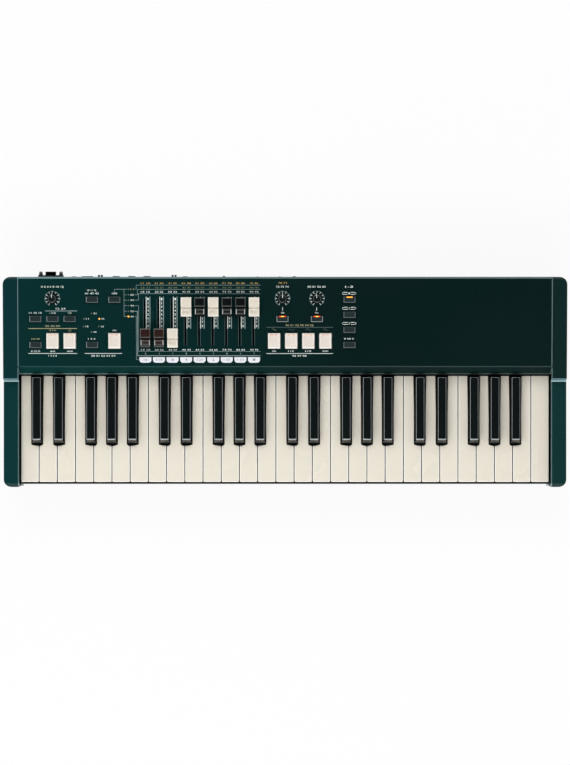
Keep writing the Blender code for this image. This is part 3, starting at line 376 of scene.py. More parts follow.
def addTurned(bm, profile, segments, place=None, material=0, wobble=None):
    # A profile of (radius, height) turned about its own axis; wobble(turn, radius, height) gives the radius
    rings = []
    for radius, height in profile:
        if radius < 0.001:
            rings.append([bm.verts.new((0, 0, height))])
            continue
        ring = []
        for i in range(segments):
            turn = 2 * math.pi * i / segments
            r = wobble(turn, radius, height) if wobble else radius
            ring.append(bm.verts.new((r * math.cos(turn), r * math.sin(turn), height)))
        rings.append(ring)
    for upper, lower in zip(rings, rings[1:]):
        for i in range(segments):
            j = (i + 1) % segments
            corners = [upper[i % len(upper)], upper[j % len(upper)], lower[j % len(lower)], lower[i % len(lower)]]
            corners = list(dict.fromkeys(corners))
            if len(corners) > 2:
                bm.faces.new(corners)
    return tagged(bm, [v for ring in rings for v in ring], material, place)


def addCap(bm, size, base, height, grid, tone):
    # A moulded cap whose top is height(x, y) over a grid, with straight walls down to its base
    (width, length), (across, along) = size, grid
    xs = [width * (i / across - 0.5) for i in range(across + 1)]
    ys = [length * (j / along - 0.5) for j in range(along + 1)]
    top = [[bm.verts.new((x, y, height(x, y))) for y in ys] for x in xs]
    for i in range(across):
        for j in range(along):
            face = bm.faces.new((top[i][j], top[i + 1][j], top[i + 1][j + 1], top[i][j + 1]))
            face.material_index = tone((xs[i] + xs[i + 1]) / 2, (ys[j] + ys[j + 1]) / 2)
    edge = [top[i][0] for i in range(across + 1)]
    edge += [top[across][j] for j in range(1, along + 1)]
    edge += [top[i][along] for i in range(across - 1, -1, -1)]
    edge += [top[0][j] for j in range(along - 1, 0, -1)]
    foot = [bm.verts.new((v.co.x, v.co.y, base)) for v in edge]
    count = len(edge)
    for i in range(count):
        j = (i + 1) % count
        bm.faces.new((edge[i], foot[i], foot[j], edge[j]))
    bm.faces.new(foot)


def softEdge(x, y, width, length, radius):
    # How far a rounded rim drops at a point of a cap: 0 inside, radius at the very edge
    drop = 0
    for gap in (width / 2 - abs(x), length / 2 - abs(y)):
        if gap < radius:
            gap = max(gap, 0)
            drop = max(drop, radius - math.sqrt(max(radius ** 2 - (radius - gap) ** 2, 0)))
    return drop


def smoothStep(value, low, high):
    t = min(max((value - low) / (high - low), 0), 1)
    return t * t * (3 - 2 * t)


def arc(centre, radius, start, end, steps):
    turns = [math.radians(start + (end - start) * i / steps) for i in range(steps + 1)]
    return [(centre[0] + radius * math.cos(t), centre[1] + radius * math.sin(t)) for t in turns]


def rounded(path, radii, steps):
    # The path with each inner corner replaced by an arc of its own radius
    points = [Vector(p) for p in path]
    result = [points[0]]
    for before, corner, after, radius in zip(points, points[1:], points[2:], radii):
        into, out = (corner - before).normalized(), (after - corner).normalized()
        turn = into.angle_signed(out)
        start = corner - into * radius * math.tan(abs(turn) / 2)
        centre = start + Vector((-into.y, into.x)) * math.copysign(radius, -turn)
        for i in range(steps + 1):
            result.append(centre + Matrix.Rotation(-turn * i / steps, 2) @ (start - centre))
    return result + [points[-1]]


# Places of the controls on the panel, in mm: across, up
columns = (-320.9, -299.0, -276.9, -248.0, -219.3)
buttonPlaces = {
    "button_transpose": (columns[0], 60.9),
    "button_octave_down": (columns[1], 60.9),
    "button_octave_up": (columns[2], 60.9),
    "button_bypass": (columns[0], 27.5),
    "button_bank": (columns[3], 85.7),
    "button_voice": (columns[4], 85.7),
    "button_mode": (columns[3], 27.5),
    "button_drive": (-3.2, 60.9),
    "button_echo": (41.1, 60.9),
    "button_preset_1": (82.9, 85.7),
    "button_preset_2": (82.9, 66.3),
    "button_preset_3": (82.9, 46.9),
    "button_manual": (82.9, 27.5),
}
tabPlaces = {
    "tab_stop": (columns[1], 32.8),
    "tab_fast": (columns[2], 32.8),
    "tab_vibrato": (columns[4], 32.8),
    "tab_percussion": (-14.0, 32.8),
    "tab_soft": (8.0, 32.8),
    "tab_short": (30.0, 32.8),
    "tab_third": (52.0, 32.8),
}
dialPlaces = {"dial_volume": (columns[1], 87.3), "dial_drive": (-3.2, 87.3), "dial_echo": (41.1, 87.3)}
buttonSize = {"button": (15.6, 8.4), "tab": (15.5, 19.5)}
capSize = {"button": (15.4, 7.9), "tab": (15.3, 19.5)}  # the dark caps stand a little rearward in their holes
capShift = 0.2
buttonRoom = {"button": 0.4, "tab": 0.65}
drawbars = {
    "count": 9,
    "first": -179.4,
    "pitch": 17.46,
    "inRow": 76.6,
    "travel": 40.0,
    "pulled": 3,
    "slot": 2.6,
    "slotRoom": 0.5,  # how far the slot goes on beyond the blade at each limit
    "slotShift": -0.95,  # the slots and blades stand a little left of the caps' middle
    "blade": (1.9, 20.0),
    "slider": (13.0, 24.0, 3.6),
    "sliderTop": -2.9,
    "width": 13.5,
    "length": 24.6,
}


def drawbarAcross(number):
    return drawbars["first"] + (number - 1) * drawbars["pitch"]


# The control panel: a folded sheet with a lip, a hem and every cut-out
panelSheet = {
    "thick": 1.6,
    "length": 113.0,
    "chamfer": 2.3,
    "fold": (155.4, 77.47),
    "lipIn": 146.9,
    "lipZ": 60.5,
    "hem": 1.4,
    "bends": 13,  # steps in each bend
    "bendRadii": (0.6, 1.5, 0.7, 1.0),
    "room": 0.3,  # between the sheet and each end block
    "end": ((0, 0.25), (0.25, 0), (1.15, 0)),  # distance from the sheet's end, and how far it has rounded down there
    "foldBand": (0.5, 0.9),  # how far the fold's painted highlight reaches before and behind it
    "hemBand": 0.5,
    "rearWall": 7.0,
    "dialHole": 3.5,
}


def makePanel():
    slope = case["slope"]
    rear = case["foldIn"] + panelSheet["length"] * math.cos(slope)
    top = case["foldZ"] + panelSheet["length"] * math.sin(slope)
    chamfer = panelSheet["chamfer"]
    path = [
        (panelSheet["lipIn"] - panelSheet["hem"], panelSheet["lipZ"]),
        (panelSheet["lipIn"], panelSheet["lipZ"]),
        panelSheet["fold"],
        (rear, top),
        (rear + chamfer, top - chamfer * 0.9),
        (rear + chamfer, top - chamfer - panelSheet["rearWall"]),
    ]
    path = rounded(path, panelSheet["bendRadii"], panelSheet["bends"])
    half = case["innerHalf"] - panelSheet["room"]
    ends = [(gap - half, drop) for gap, drop in panelSheet["end"]]
    ends += [(-x, drop) for x, drop in reversed(ends)]
    bm = bmesh.new()
    rows = [[bm.verts.new((x, fromFront(y), z - drop)) for y, z in path] for x, drop in ends]
    foldAt, (before, behind) = panelSheet["fold"][0], panelSheet["foldBand"]
    # The lip takes a lighter copy of the paint as painted light; the fold, the hem, the rear chamfer and the rounded
    # ends take painted highlights
    looks = ["greenPaint", "paintedLightGreenLip", "paintedHighlightGreenEdge", "paintedHighlightGreenFold", "paintedHighlightGreenHem", "paintedHighlightGreenEnd"]
    for i in range(len(path) - 1):
        y, z = (path[i][0] + path[i + 1][0]) / 2, (path[i][1] + path[i + 1][1]) / 2
        onHem = z < panelSheet["lipZ"] + panelSheet["hemBand"] and y < foldAt
        onFold = foldAt - before < y < foldAt + behind
        look = "paintedHighlightGreenHem" if onHem else "paintedHighlightGreenFold" if onFold else "paintedLightGreenLip" if y < foldAt else "greenPaint"
        if y > rear - 0.1:
            look = "paintedHighlightGreenEdge"
        for j, (left, right) in enumerate(zip(rows, rows[1:])):
            face = bm.faces.new((left[i], right[i], right[i + 1], left[i + 1]))
            atEnd = j != len(ends) // 2 - 1 and look in ("greenPaint", "paintedLightGreenLip")
            face.material_index = looks.index("paintedHighlightGreenEnd" if atEnd else look)
    panel = toObject("controlPanel", bm, looks, even=False)
    thick = panelSheet["thick"] * mm
    modify(panel, "thickness", "SOLIDIFY", thickness=thick, offset=-1, use_even_offset=True)

    bm, cut = bmesh.new(), 5  # cut: how far the cutters reach above and below the sheet
    for places, kind in ((buttonPlaces, "button"), (tabPlaces, "tab")):
        across, along = (s / 2 + buttonRoom[kind] for s in buttonSize[kind])
        for x, up in places.values():
            addBox(bm, (x - across, up - along, -cut), (x + across, up + along, cut))
    for x, up in dialPlaces.values():
        addRod(bm, panelSheet["dialHole"], -cut, cut, (x, up), segments=24)
    for number in range(1, drawbars["count"] + 1):
        x, half = drawbarAcross(number) + drawbars["slotShift"], drawbars["slot"] / 2
        reach = drawbars["blade"][1] / 2 + drawbars["slotRoom"]
        low, high = drawbars["inRow"] - drawbars["travel"] - reach, drawbars["inRow"] + reach
        outline = arc((x, high - half), half, 0, 180, 8) + arc((x, low + half), half, 180, 360, 8)
        addPrism(bm, outline, -cut, cut)
    bm.transform(panelPlane)
    bmesh.ops.recalc_face_normals(bm, faces=bm.faces)
    cutOuts = toScene("panelCutOuts", toMesh("panelCutOuts", bm))
    modify(panel, "cutOuts", "BOOLEAN", operation="DIFFERENCE", object=cutOuts, solver="EXACT")
    graph = bpy.context.evaluated_depsgraph_get()
    done = bpy.data.meshes.new_from_object(panel.evaluated_get(graph))
    panel.modifiers.clear()
    panel.data = done
    bpy.data.objects.remove(cutOuts)
    panel.data.set_sharp_from_angle(angle=math.radians(5))
    modify(panel, "evenShading", "WEIGHTED_NORMAL", keep_sharp=True)
    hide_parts("top_panel")


makePanel()
print("panel made")

# The end blocks: sections lofted from front to rear
endBlock = {
    "bottom": 5.0,
    "corner": 10.0,
    "nose": 6.0,
    "heel": 6.0,
    "shoulder": 4.0,
    "frontTop": 69.5,
    "stepIn": 140.1,
    "stepDepth": 2.6,
    "stepFoot": 1.2,  # size of the fillet at the step's foot, painted bright as a highlight
    "above": 0.5,  # how far the rear part stands above the panel
    "edge": 1.3,
    "rib": (1.3, 1.9),  # thickness and height of the rib along the keys
    "ribEdge": 0.5,
    "ribEnd": 1.6,  # how far before the panel's fold the rib ends
    "ribFaces": 4,  # how many faces round a section are on the rib's edge, and on the whole top
    "topFaces": 9,
    "roundings": range(0, 91, 9),
}


def makeEndBlock(name, side):
    b = endBlock
    rise = math.tan(case["slope"])
    stepZ = case["foldZ"] + b["above"] - (case["foldIn"] - b["stepIn"]) * rise
    depth, low = case["depth"], b["bottom"]
    rearZ = case["foldZ"] + b["above"] + (depth - b["heel"] - case["foldIn"]) * rise
    foot = b["stepIn"] - b["stepDepth"]
    top = arc((b["nose"], b["frontTop"] - b["nose"]), b["nose"], 180, 90, 7)
    fillet = b["stepFoot"]
    bend = [top[-1], (foot - fillet, b["frontTop"]), (foot, b["frontTop"] + fillet), (b["stepIn"], stepZ)]
    bend.append((depth - b["shoulder"], rearZ))
    top += [tuple(p) for p in rounded(bend, (0.4, 0.4, 0.7), 3)[1:-1]]
    top += arc((depth - b["shoulder"], rearZ - b["shoulder"]), b["shoulder"], 90, 0, 6)
    bottom = arc((b["nose"], low + b["nose"]), b["nose"], 180, 270, 7)
    bottom += arc((depth - b["heel"], low + b["heel"]), b["heel"], 270, 360, 7)

    def follow(line, y):
        for (y0, z0), (y1, z1) in zip(line, line[1:]):
            if y0 <= y <= y1:
                return z0 if y1 - y0 < 1e-6 else z0 + (z1 - z0) * (y - y0) / (y1 - y0)
        return line[-1][1]

    inner, outer, corner = case["innerHalf"], case["outerHalf"], b["corner"]
    ribEnd = panelSheet["fold"][0] - b["ribEnd"]
    stations = {round(p[0], 3) for p in top + bottom}
    stations |= {ribEnd - 0.1, ribEnd + 0.1}
    for a in b["roundings"]:
        inset = corner * (1 - math.cos(math.radians(a)))
        stations |= {round(inset, 3), round(depth - inset, 3)}
    ordered = []
    for y in sorted(stations):
        if not ordered or y - ordered[-1] > 0.03:
            ordered.append(y)
    bm = bmesh.new()
    rings = []
    for y in ordered:
        near = min(y, depth - y)
        sideX = outer - corner + math.sqrt(corner ** 2 - (corner - near) ** 2) if near < corner else outer
        z0, z1 = follow(bottom, y), follow(top, y)
        r, ribEdge = b["edge"], b["ribEdge"]
        near = inner - (b["rib"][0] if y < ribEnd else 0)
        ring = arc((near + ribEdge, z1 - ribEdge), ribEdge, 180, 90, 3) + [(max(near + 0.6, inner), z1)]
        ring += arc((sideX - r, z1 - r), r, 90, 0, 4) + arc((sideX - r, z0 + r), r, 0, -90, 4)
        ring += arc((inner + r * 0.6, z0 + r * 0.6), r * 0.6, -90, -180, 3)
        ring += [(inner, z1 - b["rib"][1] - 0.3), (near, z1 - b["rib"][1])]
        rings.append([bm.verts.new((side * x, fromFront(y), z)) for x, z in ring])
    # Painted highlights on the rib's edge and on the step; a lighter copy of the moulding on the lower front top,
    # painted light
    looks = ["greenMoulding", "paintedHighlightMouldingEdge", "paintedHighlightStepFace", "stepGlint", "paintedLightGreenMouldingFront"]
    for front, back, y0, y1 in zip(rings, rings[1:], ordered, ordered[1:]):
        middle = (y0 + y1) / 2
        for i in range(len(front)):
            j = (i + 1) % len(front)
            face = bm.faces.new((front[i], front[j], back[j], back[i]))
            onTop, look = i < b["topFaces"], "greenMoulding"
            if onTop and foot - fillet - 0.2 < middle < b["stepIn"] + 0.1:
                look = "paintedHighlightStepFace" if middle > foot else "stepGlint"
            elif i < b["ribFaces"] and middle < panelSheet["fold"][0]:
                look = "paintedHighlightMouldingEdge"
            elif onTop and middle < foot:
                look = "paintedLightGreenMouldingFront"
            face.material_index = looks.index(look)
    bm.faces.new(rings[0])
    bm.faces.new(rings[-1][::-1])
    block = toObject(name, bm, looks, sharp=40)
    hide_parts("cheek_left" if side < 0 else "cheek_right")


makeEndBlock("endBlockLeft", -1)
makeEndBlock("endBlockRight", 1)
print("end blocks made")

# The keys, in mm; all the combs turn about one hinge line
keys = {
    "octave": 165.0,
    "octaves": 4,
    "gap": 1.0,
    "top": 58.0,
    "frontIn": 6.5,
    "lever": 190.0,
    "hingeUnder": 9.5,
    "notch": 1.2,  # room between a black key's front and the white key that is cut out round it
    "height": 19.0,
    "tail": 25.0,
    "edge": 0.9,
    "corner": 1.4,
    "blackWidth": 15.4,
    "blackTop": 10.6,
    "blackEdge": 0.9,
    "blackGap": 0.3,
    "blackRise": 11.5,
    "blackFoot": 0.2,  # how far above the white keys its sloping sides begin
    "blackFrontIn": 54.8,
    "blackRearIn": 142.2,
    "blackSlope": 7.0,
    "blackToe": 1.6,
    "blackUnder": 15.0,
    "railWidth": 8.0,
    "railThick": 2.4,
    "railStep": 3.0,
    "tongue": 8.0,
}
ivoryLooks = ["ivoryKey", "paintedHighlightIvoryKeyRim", "paintedShadeIvoryKeySide"]
blackLooks = ["blackKey", "paintedHighlightBlackKeyEdge", "blackKeySlope", "blackKeySide", "paintedHighlightBlackKeyEdgeDim", "blackKeyGlint"]
keyPitch = keys["octave"] / 7
hingeY = fromFront(keys["frontIn"] + keys["lever"])
hingeZ = keys["top"] - keys["hingeUnder"]


def sharpCentres():
    first, second = 3 * keyPitch / 5, 4 * keyPitch / 7
    return [1.5 * first, 3.5 * first] + [3 * keyPitch + n * second for n in (1.5, 3.5, 5.5)]


def addWhiteKey(bm, octaveLeft, index):
    left = octaveLeft + index * keyPitch + keys["gap"] / 2
    right = left + keyPitch - keys["gap"]
    tailLeft, tailRight = left, right
    half = keys["blackWidth"] / 2 + keys["blackGap"]
    if index < 7:
        for centre in sharpCentres():
            x = octaveLeft + centre
            if x - half < left < x + half:
                tailLeft = x + half
            if x - half < right < x + half:
                tailRight = x - half
    front, rear = hingeY - keys["lever"], hingeY - keys["tail"]
    notch = fromFront(keys["blackFrontIn"]) - keys["notch"]
    corner = keys["corner"]
    outline = arc((left + corner, front + corner), corner, 180, 270, 3)
    outline += arc((right - corner, front + corner), corner, 270, 360, 3)
    if tailRight < right:
        outline += arc((right - corner, notch - corner), corner, 0, 90, 2) + [(tailRight, notch)]
    outline += [(tailRight, rear), (tailLeft, rear)]
    if tailLeft > left:
        outline += [(tailLeft, notch)] + arc((left + corner, notch - corner), corner, 90, 180, 2)
    top, bottom = keys["top"], keys["top"] - keys["height"]
    verts = addPrism(bm, outline, bottom, top)
    upper = set(verts[len(outline):])
    rim = [e for v in upper for e in v.link_edges if all(u in upper for u in e.verts)]
    # The bevelled rim takes a brighter copy of the ivory as a painted highlight, and the sides that face the next key a
    # dark copy as painted shade
    bevelled = bmesh.ops.bevel(bm, geom=list(set(rim)), offset=keys["edge"], segments=3, profile=0.5, affect="EDGES")
    for face in bevelled["faces"]:
        face.material_index = ivoryLooks.index("paintedHighlightIvoryKeyRim")
    for face in {f for v in verts if v.is_valid for f in v.link_faces}:
        face.normal_update()
        if abs(face.normal.x) > 0.9:
            face.material_index = ivoryLooks.index("paintedShadeIvoryKeySide")
    return (tailLeft + tailRight) / 2


def addBlackKey(bm, centre):
    half, topHalf = keys["blackWidth"] / 2, keys["blackTop"] / 2
    front, rear = fromFront(keys["blackFrontIn"]), fromFront(keys["blackRearIn"])
    foot, top = keys["top"] + keys["blackFoot"], keys["top"] + keys["blackRise"]
    known = set(bm.faces)
    toe = front + keys["blackToe"]
    lower = [(-half, toe, foot), (half, toe, foot), (half, rear, foot), (-half, rear, foot)]
    lean = keys["blackSlope"]
    upper = [(-topHalf, front + lean, top), (topHalf, front + lean, top)]
    upper += [(x, rear - 0.3, top) for x in (topHalf, -topHalf)]
    corners = [bm.verts.new((centre + x, y, z)) for x, y, z in lower + upper]
    for face in ((3, 2, 1, 0), (4, 5, 6, 7), (0, 1, 5, 4), (1, 2, 6, 5), (2, 3, 7, 6), (3, 0, 4, 7)):
        bm.faces.new([corners[i] for i in face])
    bevelled = set()
    for i in (4, 5, 6, 7):
        bevelled.update(corners[i].link_edges)
    bmesh.ops.bevel(bm, geom=list(bevelled), offset=keys["blackEdge"], segments=4, profile=0.5, affect="EDGES")
    # Painted highlights on the top's bevelled edges, brighter on the left and at the front, and on the sloping front;
    # painted shade on the sides
    for face in set(bm.faces) - known:
        face.normal_update()
        middle = face.calc_center_median()
        look = "blackKey"
        if abs(face.normal.z) < 0.97 and middle.z > top - keys["blackEdge"] * 0.75:
            atFront = middle.y < front + lean + keys["blackEdge"] * 0.6
            look = "blackKeyGlint" if atFront else "paintedHighlightBlackKeyEdgeDim" if middle.x > centre else "paintedHighlightBlackKeyEdge"
        elif middle.y < front + lean - 0.6 and abs(middle.x - centre) < 1:
            look = "blackKeySlope"
        elif abs(middle.x - centre) > topHalf:
            look = "blackKeySide"
        face.material_index = blackLooks.index(look)
    # The body under the top takes the sides' painted shade
    low = (centre - half, front + 0.02, keys["top"] - keys["blackUnder"])
    high = (centre + half, hingeY - keys["tail"], foot + 0.02)
    addBox(bm, low, high, blackLooks.index("blackKeySide"))
    return centre


def addSpine(bm, centres, level):
    low = hingeZ + level * keys["railStep"] - keys["railThick"] / 2
    high, half, reach = low + keys["railThick"], keys["tongue"] / 2, keys["railWidth"] / 2
    addBox(bm, (min(centres) - half, hingeY - reach, low), (max(centres) + half, hingeY + reach, high))
    for x in centres:
        addBox(bm, (x - half, hingeY - keys["tail"] - 1, low), (x + half, hingeY - reach, high))


def makeComb(body, octaveLeft, whites, level):
    bm = bmesh.new()
    if whites:
        centres = [addWhiteKey(bm, octaveLeft, i) for i in whites]
    else:
        centres = [addBlackKey(bm, octaveLeft + x) for x in sharpCentres()]
    addSpine(bm, centres, level)
    looks = ivoryLooks if whites else blackLooks
    flatTop = keys["top"] + (0 if whites else keys["blackRise"])
    comb = toObject(body.replace("keys", "keySet"), bm, looks, body=body, sharp=32, flat=flatTop)
    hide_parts(body)


keyboardLeft = -(7 * keys["octaves"] + 1) * keyPitch / 2
for octave in range(keys["octaves"]):
    octaveLeft = keyboardLeft + octave * keys["octave"]
    topNote = [7] if octave == keys["octaves"] - 1 else []
    makeComb(f"white_keys_c_e_g_b_{octave + 1}", octaveLeft, [0, 2, 4, 6] + topNote, -1)
    makeComb(f"white_keys_d_f_a_{octave + 1}", octaveLeft, [1, 3, 5], 0)
    makeComb(f"black_keys_{octave + 1}", octaveLeft, [], 1)
print("keys made")

# The drawbars: a crowned head, a groove, a dished finger pull with side walls and a sloping front end
drawbarCap = {
    "head": 11.4,
    "headFrom": 0.5,
    "groove": 6.4,
    "grooveFrom": -2.1,
    "pull": 8.2,
    "wall": 2.0,
    "dish": 1.8,
    "endFrom": -9.1,
    "endDrop": 2.4,
    "edge": 0.9,
    "base": 0.6,
    "line": 0.9,  # width of the paler painted highlight lines along the dark caps' edges
    "bar": 0.75,  # width of the glints on the finger pull's rims
    "grid": (28, 56),
}


def drawbarHeight(x, y):
    c = drawbarCap
    width, length = drawbars["width"], drawbars["length"]
    crown = c["head"] - 0.012 * (y - (length / 2 + c["headFrom"]) / 2) ** 2 - 0.004 * x * x
    inside = min(width / 2 - c["wall"] - abs(x), c["grooveFrom"] - 1.0 - y, y - c["endFrom"] - 1.0)
    pull = c["pull"] - c["dish"] * smoothStep(inside, -0.3, 1.5)
    pull -= (pull - c["groove"]) * smoothStep(y, c["grooveFrom"] - 0.4, c["grooveFrom"] + 0.3)
    pull -= c["endDrop"] * smoothStep(-y, 0.2 - c["endFrom"], length / 2 - 0.4)
    step = smoothStep(y, c["headFrom"] - 0.5, c["headFrom"] + 0.4)
    z = pull + (crown - pull) * step
    return z - softEdge(x, y, width, length, c["edge"])


def ivoryCapTone(x, y):
    # 1 a brighter copy of the ivory on the sides, in the groove and at both ends: painted highlight, which also lifts
    # the shade in the groove
    c, half = drawbarCap, drawbars["length"] / 2
    onSide = abs(x) > drawbars["width"] / 2 - 1.45
    inGroove = c["grooveFrom"] - 0.5 < y < c["headFrom"] + 0.2
    return 1 if onSide or inGroove or y < c["endFrom"] - 1.3 or y > half - 0.9 else 0


def darkCapTone(x, y):
    # 0 the cap, 1 a pale painted highlight line, 2 a bright painted glint on the rims of the finger pull, 3 the front
    # end darkened as painted shade
    c, half, side = drawbarCap, drawbars["length"] / 2, drawbars["width"] / 2
    if y > c["headFrom"]:
        onLine = y < c["headFrom"] + 1.3 or y > half - c["line"] or side - 1.2 < abs(x) < side - 0.3
        return 1 if onLine else 0
    if c["endFrom"] < y < c["grooveFrom"] - 0.2 and abs(x) < side - 1.0:
        onBar = x < c["bar"] * 1.4 + 1.0 - side or x > side - 1.0 - c["bar"]
        return 2 if onBar else 1 if y < c["endFrom"] + c["bar"] else 0
    return 3 if y < c["endFrom"] else 0


# The brown caps also get a pale painted highlight line near the front end
def brownCapTone(x, y):
    onFront = 0.7 < y + drawbars["length"] / 2 < 1.7
    return 1 if onFront else darkCapTone(x, y)


capKinds = {
    "brown": (["brownCap", "paintedHighlightCapLine", "capGlint", "paintedShadeCapEnd"], brownCapTone),
    "ivory": (["ivoryCap", "paintedHighlightIvoryRim"], ivoryCapTone),
    "black": (["blackCap", "paintedHighlightCapLine", "capGlint", "paintedShadeCapEnd"], darkCapTone),
}


def makeDrawbar(number):
    body = f"drawbar_{number}"
    pulled = drawbars["travel"] if number <= drawbars["pulled"] else 0
    kind = "brown" if number <= 2 else "ivory" if number in (3, 4, 6, 9) else "black"
    looks, tone = capKinds[kind]
    bm = bmesh.new()
    size, base = (drawbars["width"], drawbars["length"]), drawbarCap["base"]
    addCap(bm, size, base, drawbarHeight, drawbarCap["grid"], tone)
    width, length = drawbars["blade"]
    top, shift = drawbars["sliderTop"], drawbars["slotShift"]
    addBox(bm, (shift - width / 2, -length / 2, top - 1), (shift + width / 2, length / 2, base + 2))
    across, along, thick = drawbars["slider"]
    addBox(bm, (-across / 2, -along / 2, top - thick), (across / 2, along / 2, top))
    place = panelPlane @ Matrix.Translation((drawbarAcross(number), drawbars["inRow"] - pulled, 0))
    bar = toObject(f"drawbarCap{number}", bm, looks, place, body, sharp=50, even=False)
    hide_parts(body)


for number in range(1, drawbars["count"] + 1):
    makeDrawbar(number)
print("drawbars made")

# The push buttons: dark ones whose rim is painted pale as a highlight, and ivory ones that are dished
pushButton = {
    "rise": 2.2,
    "rim": 0.8,
    "edge": 0.6,
    "grid": (32, 18),
    "redLens": (8.6, 1.2),
    "amberLens": (8.0, 1.4),
    "lensIn": 0.8,  # from the far edge to the middle of the lens
}
ivoryTab = {
    "rise": 4.2,
    "edge": 0.8,
    "dish": 0.9,
    "wall": 1.5,
    "rim": 1.3,
    "grid": (28, 34),
    "lens": (4.4, 1.0),
    "lensIn": 1.9,
    "lensAcross": 2.5,
}
lensBar = {"rise": 0.35, "under": -0.5, "core": (0.42, 0.7), "coreRise": 0.45}  # core: shares of width and radius
plunger = {"under": -1.9, "flange": 1.2, "thick": 1.3, "stem": 2.0, "foot": -6.0}
redGlow, orangeGlow = ["redLit", "yellowLit"], ["amberLit", "amberLit"]  # a lens, and its brighter middle


def addPlunger(bm, width, length):
    under, flange = plunger["under"], plunger["flange"]
    across, along = width / 2 + flange, length / 2 + flange
    addBox(bm, (-across, -along, under - plunger["thick"]), (across, along, under))
    stem = plunger["stem"]
    addBox(bm, (-stem, -stem, plunger["foot"]), (stem, stem, under - plunger["thick"] + 0.1))


def makeButton(body, across, up, lit):
    width, length = capSize["button"]
    rim = pushButton["rim"]
    # Painted highlights on the left, right and near rims: 1 pale, 2 dim; the far rim is darkened as painted shade
    left, right, near = (1, 1, 1) if lit == redGlow else (1, 2, 2) if across < columns[4] + 1 else (2, 2, 2)

    def height(x, y):
        return pushButton["rise"] - softEdge(x, y, width, length, pushButton["edge"])

    def tone(x, y):
        if y < rim - length / 2:
            return near
        if abs(x) > width / 2 - rim and y < length / 2 - 0.5:
            return left if x < 0 else right
        return 3 if y > length / 2 - rim else 0

    bm = bmesh.new()
    addCap(bm, (width, length), plunger["under"], height, pushButton["grid"], tone)
    addPlunger(bm, width, length)
    place = panelPlane @ Matrix.Translation((across, up + capShift, 0))
    looks = ["charcoalRubber", "paintedHighlightButtonRim", "paintedHighlightButtonRimDim", "paintedShadeButtonRimDark"]  # the order of tone's numbers
    cap = toObject(body.replace("button_", "pushButton_"), bm, looks, place, body, 45, even=False)
    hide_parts(body)
    if lit:
        size = pushButton["redLens" if lit == redGlow else "amberLens"]
        y, z = length / 2 - pushButton["lensIn"], pushButton["rise"] + 0.1
        makeLens(f"lens_{body}", place, y, z, size, lit, body)


def makeLens(name, place, y, z, size, looks, body):
    # A lens bar with rounded ends and a brighter middle
    width, length = size
    widthShare, radiusShare = lensBar["core"]
    bm = bmesh.new()
    core = (width * widthShare, length / 2 * radiusShare, lensBar["coreRise"])
    for material, (across, r, rise) in enumerate(((width, length / 2, lensBar["rise"]), core)):
        outline = arc((across / 2 - r, 0), r, -90, 90, 8) + arc((r - across / 2, 0), r, 90, 270, 8)
        addPrism(bm, outline, lensBar["under"], rise, material)
    where = place @ Matrix.Translation((0, y, z - lensBar["rise"]))
    toObject(name, bm, looks, where, body, sharp=40, even=False)


def makeTab(body, across, up, lens):
    width, length = capSize["tab"]

    def height(x, y):
        inside = min(width / 2 - abs(x), length / 2 - abs(y)) - ivoryTab["wall"]
        dished = ivoryTab["dish"] * smoothStep(inside, -0.4, 2.6)
        return ivoryTab["rise"] - dished - softEdge(x, y, width, length, ivoryTab["edge"])

    def tone(x, y):
        # 1 the rim, a brighter copy of the ivory as a painted highlight
        edge = ivoryTab["rim"]
        onRim = abs(x) > width / 2 - edge or y < edge + 0.2 - length / 2 or y > length / 2 - edge + 0.5
        return 1 if onRim else 0

    bm = bmesh.new()
    addCap(bm, (width, length), plunger["under"], height, ivoryTab["grid"], tone)
    addPlunger(bm, width, length)
    place = panelPlane @ Matrix.Translation((across, up, 0))
    looks = ["ivoryTabDish", "paintedHighlightIvoryTabRim"]
    cap = toObject(body.replace("tab_", "ivoryTab_"), bm, looks, place, body, 50, even=False)
    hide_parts(body)
    y, z = length / 2 - ivoryTab["lensIn"], ivoryTab["rise"] - 0.1
    for side, way in (("left", -1), ("right", 1)):
        where = place @ Matrix.Translation((way * ivoryTab["lensAcross"], 0, 0))
        makeLens(f"lens_{body}_{side}", where, y, z, ivoryTab["lens"], [lens, lens], body)


for body, (across, up) in buttonPlaces.items():
    lit = redGlow if body in ("button_drive", "button_echo") else orangeGlow if body == "button_preset_1" else None
    makeButton(body, across, up, lit)
for body, (across, up) in tabPlaces.items():
    pink = body in ("tab_stop", "tab_vibrato", "tab_percussion", "tab_third")
    makeTab(body, across, up, "lensIdle" if pink else "lensAmberIdle")
print("buttons made")

# The dials: a skirt, a ribbed grip and a white pointer
dial = {
    "skirt": 7.0,
    "grip": 5.5,
    "crown": 5.0,
    "height": 10.8,
    "ribs": 24,
    "ribDepth": 0.16,
    "shaft": 3.0,
    "foot": -4.6,
    "pointer": 0.7,
}
dialTurns = {"dial_volume": 6, "dial_drive": 0, "dial_echo": 12}


